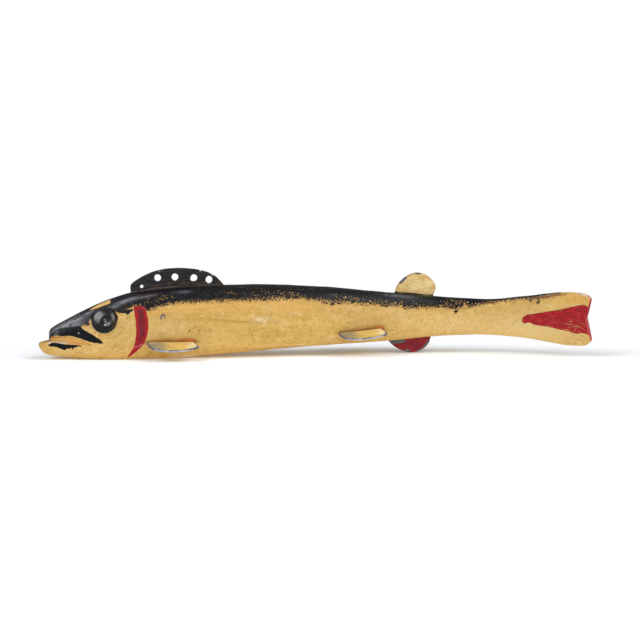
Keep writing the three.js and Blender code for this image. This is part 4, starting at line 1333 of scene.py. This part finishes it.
def single_marks(p, n, skin):
    """A chipped flake behind the gill, a pin hole dark with painted shade, two pale nicks, all on the side
    that shows.
    """
    shown = p.field("shown")
    places = dict(zip(SPOT_MARKS, skin.laid_out(SPOT_MARKS.values())))
    flake = p.spot(n.skin, places["flake"], (1.15, 1.3), n.mottle, 0.25)
    core = p.spot(n.skin, places["flake_core"], (0.5, 1.0), n.mottle, 0.3)
    arch = p.times(p.band(flake, 1.1, 0.95), p.band(core, 0.8, 1.1))
    p.coat(p.times(arch, shown, 0.85), (96, 96, 106))
    pin = p.times(p.band(p.spot(n.skin, places["pin_hole"], (1, 1)), 0.38, 0.26), shown)
    nick = p.band(p.spot(n.skin, places["snout_nick"], (0.45, 0.4), n.hand, 0.3), 0.9, 0.7)
    dot = p.band(p.spot(n.skin, places["lip_dot"], (0.32, 0.32)), 1, 0.7, 0, 0.8)
    p.coat(p.times(p.calc("MAXIMUM", nick, dot), shown), (224, 212, 190))
    # the pin hole's dark inside, painted shade over a shallow dent
    p.coat(pin, (24, 22, 22))
    return p.plus(p.times(pin, -0.15), p.times(arch, -0.06))


def painted_wood(skin):
    """Ochre paint over wood, a stippled black back, a red gill and tail, and many years of wear."""
    p = Paint("painted_wood", 0.3)
    n = body_noises(p)
    ochre_ground(p, n)
    dirt_and_scuffs(p, n)
    black = black_back(p, n)
    lips = crisp_strokes(p, n)
    gill, wedge = red_paint(p, n)
    seat = eye_surround(p, n)
    dents = single_marks(p, n, skin)

    gloss = p.calc("MAXIMUM", lips, p.times(seat, 0.5))
    rough = p.plus(p.band(n.mottle, 0.3, 0.7, 0.52, 0.64), p.times(black, -0.18), p.times(gloss, -0.12))
    thick = p.plus(p.times(black, 0.03), p.times(lips, 0.05), p.times(gill, 0.04), p.times(wedge, 0.04))
    relief = p.plus(p.times(n.brushed, 0.07), p.times(n.mottle, 0.05), p.times(n.grain, 0.03), thick, dents)
    relief = p.plus(relief, p.times(n.bristle, wedge, 0.06), p.times(n.worn, black, 0.05))
    return p.finish(rough, relief)


def black_sheet():
    """Thin black paint on sheet metal, rubbed through at the edges and the holes, with painted sheen there.
    """
    p = Paint("black_sheet", 0.22)
    plate_place = p.place("plate")
    worn = p.noise(plate_place, (3.5, 0.6, 2), 4, 0.65)
    fine = p.noise(plate_place, 0.8, 4, 0.65)
    p.colour = p.mix(p.band(worn, 0.4, 0.75), (34, 34, 37), (62, 60, 62))
    p.coat(p.band(fine, 0.54, 0.7, 0, 0.45), (84, 78, 72))
    p.coat(p.band(fine, 0.68, 0.74, 0, 0.7), (128, 108, 82))
    above = p.field("above")
    rust = p.times(p.band(p.wander(above, fine, 1.2), 3.2, 0.6), p.band(worn, 0.4, 0.62))
    p.coat(p.times(rust, 0.5), (94, 72, 52))
    base = p.times(p.band(p.wander(above, fine, 0.3), 0.42, 0.2), p.band(worn, 0.3, 0.6, 0.3, 0.9))
    p.coat(base, (100, 92, 82))
    edge = p.field("edge")
    # grey along the edges: worn paint, partly a painted highlight along the worn edge
    rubbed = p.times(p.band(edge, 0.36, 0.12), p.band(worn, 0.4, 0.62, 0.1, 0.8))
    p.coat(rubbed, (104, 104, 104))
    chips = p.band(p.plus(fine, p.times(p.field("bare"), 0.3)), 0.72, 0.78)
    p.coat(p.times(chips, p.band(edge, 1.3, 0.7)), (206, 206, 202))
    # pale metal round the holes: a burr, lightened as a painted sheen of bare metal
    burr_and_sheen = p.times(p.band(p.field("hole"), 0.25, 0.08), p.band(fine, 0.44, 0.57))
    p.coat(p.times(burr_and_sheen, 0.7), (176, 170, 150))
    rough = p.band(worn, 0.3, 0.7, 0.4, 0.55)
    return p.finish(rough, p.plus(p.times(worn, 0.05), p.times(fine, 0.03)))


def flaked_down(p, fine, clouds):
    """Where paint has flaked off a fin down to the metal, round its bare spots."""
    finely = p.times(p.plus(fine, -0.5), 0.7)
    broadly = p.times(p.plus(clouds, -0.5), 0.5)
    return p.band(p.plus(p.field("bare"), finely, broadly), 0.5, 0.54)


def cream_sheet():
    """Cream paint on sheet metal, flaked down to grey metal in places and rusty round its rim."""
    p = Paint("cream_sheet", 0.3)
    plate_place = p.place("plate")
    clouds = p.noise(plate_place, (4, 2.5, 3), 3)
    fine = p.noise(plate_place, 0.7, 5, 0.7)
    p.colour = p.mix(p.band(clouds, 0.38, 0.62), (236, 208, 148), (214, 178, 106))
    streaks = p.noise(p.turned(plate_place, 12), (2.6, 0.3, 1), 3, 0.65)
    p.coat(p.band(streaks, 0.55, 0.75, 0, 0.5), (168, 136, 80))
    p.coat(p.band(p.noise(plate_place, 2, 3), 0.58, 0.68, 0, 0.5), (230, 170, 96))
    p.coat(p.band(fine, 0.58, 0.72, 0, 0.75), (126, 92, 52))
    edge, above = p.field("edge"), p.field("above")
    stained = p.times(p.band(p.wander(edge, fine, 0.5), 1.3, 0.4), p.band(clouds, 0.4, 0.56))
    p.coat(p.times(stained, 0.75), (206, 144, 66))
    flaked = flaked_down(p, fine, clouds)
    p.coat(flaked, p.mix(p.band(fine, 0.4, 0.6), (70, 75, 80), (100, 103, 106)))
    foot = p.times(p.band(p.wander(above, fine, 0.8), 0.5, 0.25), p.band(clouds, 0.3, 0.5, 0.6, 1))
    p.coat(foot, (54, 48, 44))
    thin_edge = p.times(p.band(edge, 0.3, 0.12), p.band(fine, 0.4, 0.55, 0.2, 0.8))
    p.coat(thin_edge, (118, 104, 80))
    relief = p.plus(p.times(streaks, 0.04), p.times(fine, 0.04), p.times(flaked, -0.05))
    return p.finish(p.band(flaked, 0, 1, 0.52, 0.42), relief)


def side_sheet():
    """The same paint on the paired fins: dull at the front, yellow behind, a bare rim with a painted
    highlight.
    """
    p = Paint("side_sheet", 0.35)
    plate_place = p.place("plate")
    along, above, edge = p.field("along"), p.field("above"), p.field("edge")
    clouds = p.noise(plate_place, (4, 2.5, 3), 3)
    fine = p.noise(plate_place, 0.6, 5, 0.7)
    streaks = p.noise(p.turned(plate_place, 8), (3.2, 0.35, 1), 3, 0.65)
    ground = p.wander(p.wander(along, clouds, 0.25), streaks, 0.2)
    p.colour = p.mix(p.band(ground, 0.15, 0.62), (160, 146, 116), (238, 198, 106))
    p.coat(p.band(ground, 0.76, 0.98), (248, 226, 166))
    p.coat(p.band(streaks, 0.52, 0.72, 0, 0.6), (150, 124, 82))
    p.coat(p.band(fine, 0.58, 0.72, 0, 0.6), (122, 94, 56))
    root = p.times(p.band(p.wander(above, fine, 0.4), 0.75, 0.45), p.band(streaks, 0.3, 0.6, 0.5, 1))
    p.coat(p.times(root, 0.8), (236, 208, 150))
    # the outer rim is worn through the paint to dark metal, less so at both ends; its cut edge is a painted
    # highlight
    tip = p.times(p.band(along, 0.9, 0.97), p.band(above, 5.2, 4.2))
    ends = p.plus(tip, p.band(along, 0.14, 0.04, 0, 0.6))
    worn = p.wander(p.wander(edge, clouds, 1.2), fine, 0.45)
    dark = p.band(p.plus(worn, p.times(ends, 0.75)), 1.0, 0.75)
    dark = p.calc("MAXIMUM", dark, p.band(along, 1.01, 1.05, 0, 0.9))
    p.coat(dark, p.mix(p.band(streaks, 0.4, 0.6), (72, 76, 88), (122, 122, 128)))
    # the bright cut edge is a painted highlight
    bright = p.times(p.band(p.wander(edge, fine, 0.5), 0.3, 0.15), p.band(clouds, 0.34, 0.5))
    bright = p.times(bright, p.band(along, 0.1, 0.2), p.band(along, 1.0, 0.93))
    bright = p.times(bright, p.band(streaks, 0.34, 0.48, 0.3, 1))
    p.coat(bright, p.mix(p.band(fine, 0.4, 0.6), (228, 226, 232), (160, 160, 176)))
    relief = p.plus(p.times(streaks, 0.04), p.times(fine, 0.05), p.times(dark, -0.05))
    return p.finish(p.band(dark, 0, 1, 0.5, 0.38), relief)


def red_sheet():
    """Dull red paint on sheet metal, flaked down to the grey metal."""
    p = Paint("red_sheet", 0.35)
    plate_place = p.place("plate")
    clouds = p.noise(plate_place, (4, 2.5, 3), 3)
    fine = p.noise(plate_place, 0.8, 5, 0.7)
    p.colour = p.mix(p.band(clouds, 0.35, 0.65), (158, 22, 32), (122, 24, 38))
    p.coat(p.band(fine, 0.56, 0.72, 0, 0.5), (84, 30, 34))
    edge = p.field("edge")
    grey = p.mix(p.band(fine, 0.4, 0.62), (84, 86, 86), (112, 112, 110))
    flaked = flaked_down(p, fine, clouds)
    p.coat(flaked, grey)
    p.coat(p.times(p.band(edge, 0.35, 0.12), p.band(fine, 0.4, 0.55, 0.3, 0.9)), (98, 94, 92))
    rough = p.band(flaked, 0, 1, 0.48, 0.42)
    return p.finish(rough, p.plus(p.times(fine, 0.04), p.times(flaked, -0.05)))


def black_tack():
    """Glossy black enamel on a domed tack, chipped to rust and bare metal in its dimple, with painted glints.
    """
    p = Paint("black_tack", 0.4)
    p.shader.inputs["Coat Weight"].default_value = 1.0
    p.shader.inputs["Coat Roughness"].default_value = 0.32
    disc = p.place("disc")
    flat = p.node("ShaderNodeVectorMath", {0: disc, 1: (1, 1, 0)}, operation="MULTIPLY")
    fine = p.noise(flat, 0.5, 4, 0.65)
    worn = p.noise(flat, 1.6, 4, 0.6)
    p.colour = p.mix(p.band(worn, 0.45, 0.75, 0, 0.4), (9, 9, 12), (30, 32, 38))
    p.coat(p.band(fine, 0.68, 0.76, 0, 0.5), (78, 78, 82))
    tilt = math.radians(EYE_CHIP_TILT)
    x, y = EYE_CHIP_PLACE
    middle = (x * math.cos(tilt) - y * math.sin(tilt), x * math.sin(tilt) + y * math.cos(tilt))
    chip = p.spot(p.turned(flat, EYE_CHIP_TILT), middle, (1.25, 0.55), fine, 0.35)
    p.coat(p.times(p.band(chip, 1.5, 1.25), p.band(worn, 0.35, 0.6, 0.2, 0.8)), (86, 90, 90))
    p.coat(p.band(chip, 1.0, 0.8, 0, 0.9), (112, 90, 88))
    # pale glints on the bare metal in the dimple, painted highlights
    glints = [p.band(p.spot(flat, place, reach, fine, 0.4), 1, 0.75) for place, reach in EYE_GLINTS]
    bright = p.calc("MAXIMUM", *glints)
    p.coat(p.times(bright, 0.9), (196, 194, 190))
    p.coat(p.band(p.spot(flat, *EYE_PIT, fine, 0.3), 1, 0.7), (8, 8, 10))
    bare = p.band(chip, 1.4, 1.1)
    rough = p.plus(p.band(worn, 0.35, 0.7, 0.2, 0.34), p.times(bare, 0.25))
    relief = p.plus(p.times(worn, 0.14), p.times(fine, 0.03), p.times(bright, 0.05), p.times(bare, -0.06))
    return p.finish(rough, relief)


def floor_paint():
    """Matt white paint that glows slightly, as the photograph's bright table does."""
    material = bpy.data.materials.new("white_floor")
    material.use_nodes = True
    shader = material.node_tree.nodes["Principled BSDF"]
    for socket, value in {
        "Base Color": (*FLOOR_PAINT, 1),
        "Roughness": 0.9,
        "Specular IOR Level": 0.0,
        "Emission Color": (1, 1, 1, 1),
        "Emission Strength": FLOOR_GLOW,
    }.items():
        shader.inputs[socket].default_value = value
    return material


def direction(azimuth, elevation):
    """The way from the fish to a place round it, both angles in degrees."""
    a, e = math.radians(azimuth), math.radians(elevation)
    return Vector((math.sin(a) * math.cos(e), -math.cos(a) * math.cos(e), math.sin(e)))


def set_up(name, data, back, place):
    """A light or a camera at its place, turned so that back is the way behind it."""
    made = bpy.data.objects.new(name, data)
    made.location = place
    made.rotation_mode = "QUATERNION"
    made.rotation_quaternion = back.to_track_quat("Z", "Y")
    bpy.context.scene.collection.objects.link(made)
    return made


def studio():
    """A pale floor, soft light from above and below, and the camera of the photograph."""
    scene = bpy.context.scene
    scene.view_settings.view_transform = "Standard"
    scene.world = bpy.data.worlds.new("studio")
    scene.world.use_nodes = True
    sky = scene.world.node_tree.nodes["Background"].inputs
    sky["Color"].default_value = (1, 1, 1, 1)
    sky["Strength"].default_value = WORLD_LIGHT

    corners = np.array([(-1, -1, 0), (1, -1, 0), (1, 1, 0), (-1, 1, 0)]) * FLOOR_HALF
    floor = make_mesh("floor", corners / MM, [(0, 1, 2, 3)], {})
    floor.data.materials.append(floor_paint())
    # the floor doesn't show in glossy paint, and the light that it would throw up comes through it
    floor.visible_glossy = False
    floor.visible_shadow = False

    for name, (azimuth, elevation, width, strength, mirrored) in LIGHTS.items():
        data = bpy.data.lights.new(name, "SUN")
        data.angle = math.radians(width)
        data.energy = strength * math.pi
        back = direction(azimuth, elevation)
        set_up(name, data, back, back).visible_glossy = mirrored

    lens = bpy.data.cameras.new("camera")
    lens.sensor_width = SENSOR
    lens.lens = PIXELS_PER_MM * CAMERA_DISTANCE / PICTURE_WIDTH * SENSOR
    lens.clip_start, lens.clip_end = CLIP_START, CLIP_END
    back = direction(CAMERA_AZIMUTH, CAMERA_ELEVATION)
    place = (Vector(PICTURE_MIDDLE) + back * CAMERA_DISTANCE) * MM
    scene.camera = set_up("camera", lens, back, place)


def dress(piece, material, node):
    """Gives a piece its paint and says which node it stands for."""
    piece.data.materials.append(material)
    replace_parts(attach(piece, "root"), node)


studio()
fish_skin = Skin()
dress(body_piece(fish_skin), painted_wood(fish_skin), "body")

punched = [(at, LINE_HOLE, wear) for at, wear in zip(LINE_HOLES, LINE_HOLE_WEAR)]
punched.append((NAIL_HOLE_PLACE, NAIL_HOLE, NAIL_HOLE_WEAR))
dorsal = upright_fin(
    "dorsal_sheet", DORSAL_SHARE, DORSAL_LENGTH, DORSAL_RISE, DORSAL_EDGE, back_at, 1, DORSAL_TANG,
    punched, 10, DORSAL_SPOTS,
)
dress(dorsal, black_sheet(), "dorsal_fin")
adipose = upright_fin(
    "adipose_sheet", ADIPOSE_SHARE, ADIPOSE_LENGTH, ADIPOSE_RISE, ADIPOSE_EDGE, back_at, 1, SMALL_TANG,
    [], 20, ADIPOSE_SPOTS,
)
dress(adipose, cream_sheet(), "adipose_fin")
lowest = max(ANAL_EDGE, key=lambda point: point[1])
anal_drop = float(keel_at(ANAL_SHARE * BODY_LENGTH + lowest[0] * ANAL_LENGTH))
anal = upright_fin(
    "anal_sheet", ANAL_SHARE, ANAL_LENGTH, anal_drop, ANAL_EDGE, keel_at, -1, SMALL_TANG, [], 30, ANAL_SPOTS,
)
dress(anal, red_sheet(), "anal_fin")
tack = black_tack()
side_cream = side_sheet()
for number, (word, side) in enumerate((("left", -1), ("right", 1))):
    for place, fin in enumerate(SIDE_FINS):
        seed = 40 + 10 * number + 20 * place
        sheet = side_fin(f"{word}_{fin}_sheet", side, *SIDE_FINS[fin], seed)
        dress(sheet, side_cream, f"{word}_{fin}_fin")
    dress(eye_piece(f"{word}_tack", side, 80 + number), tack, f"{word}_eye")
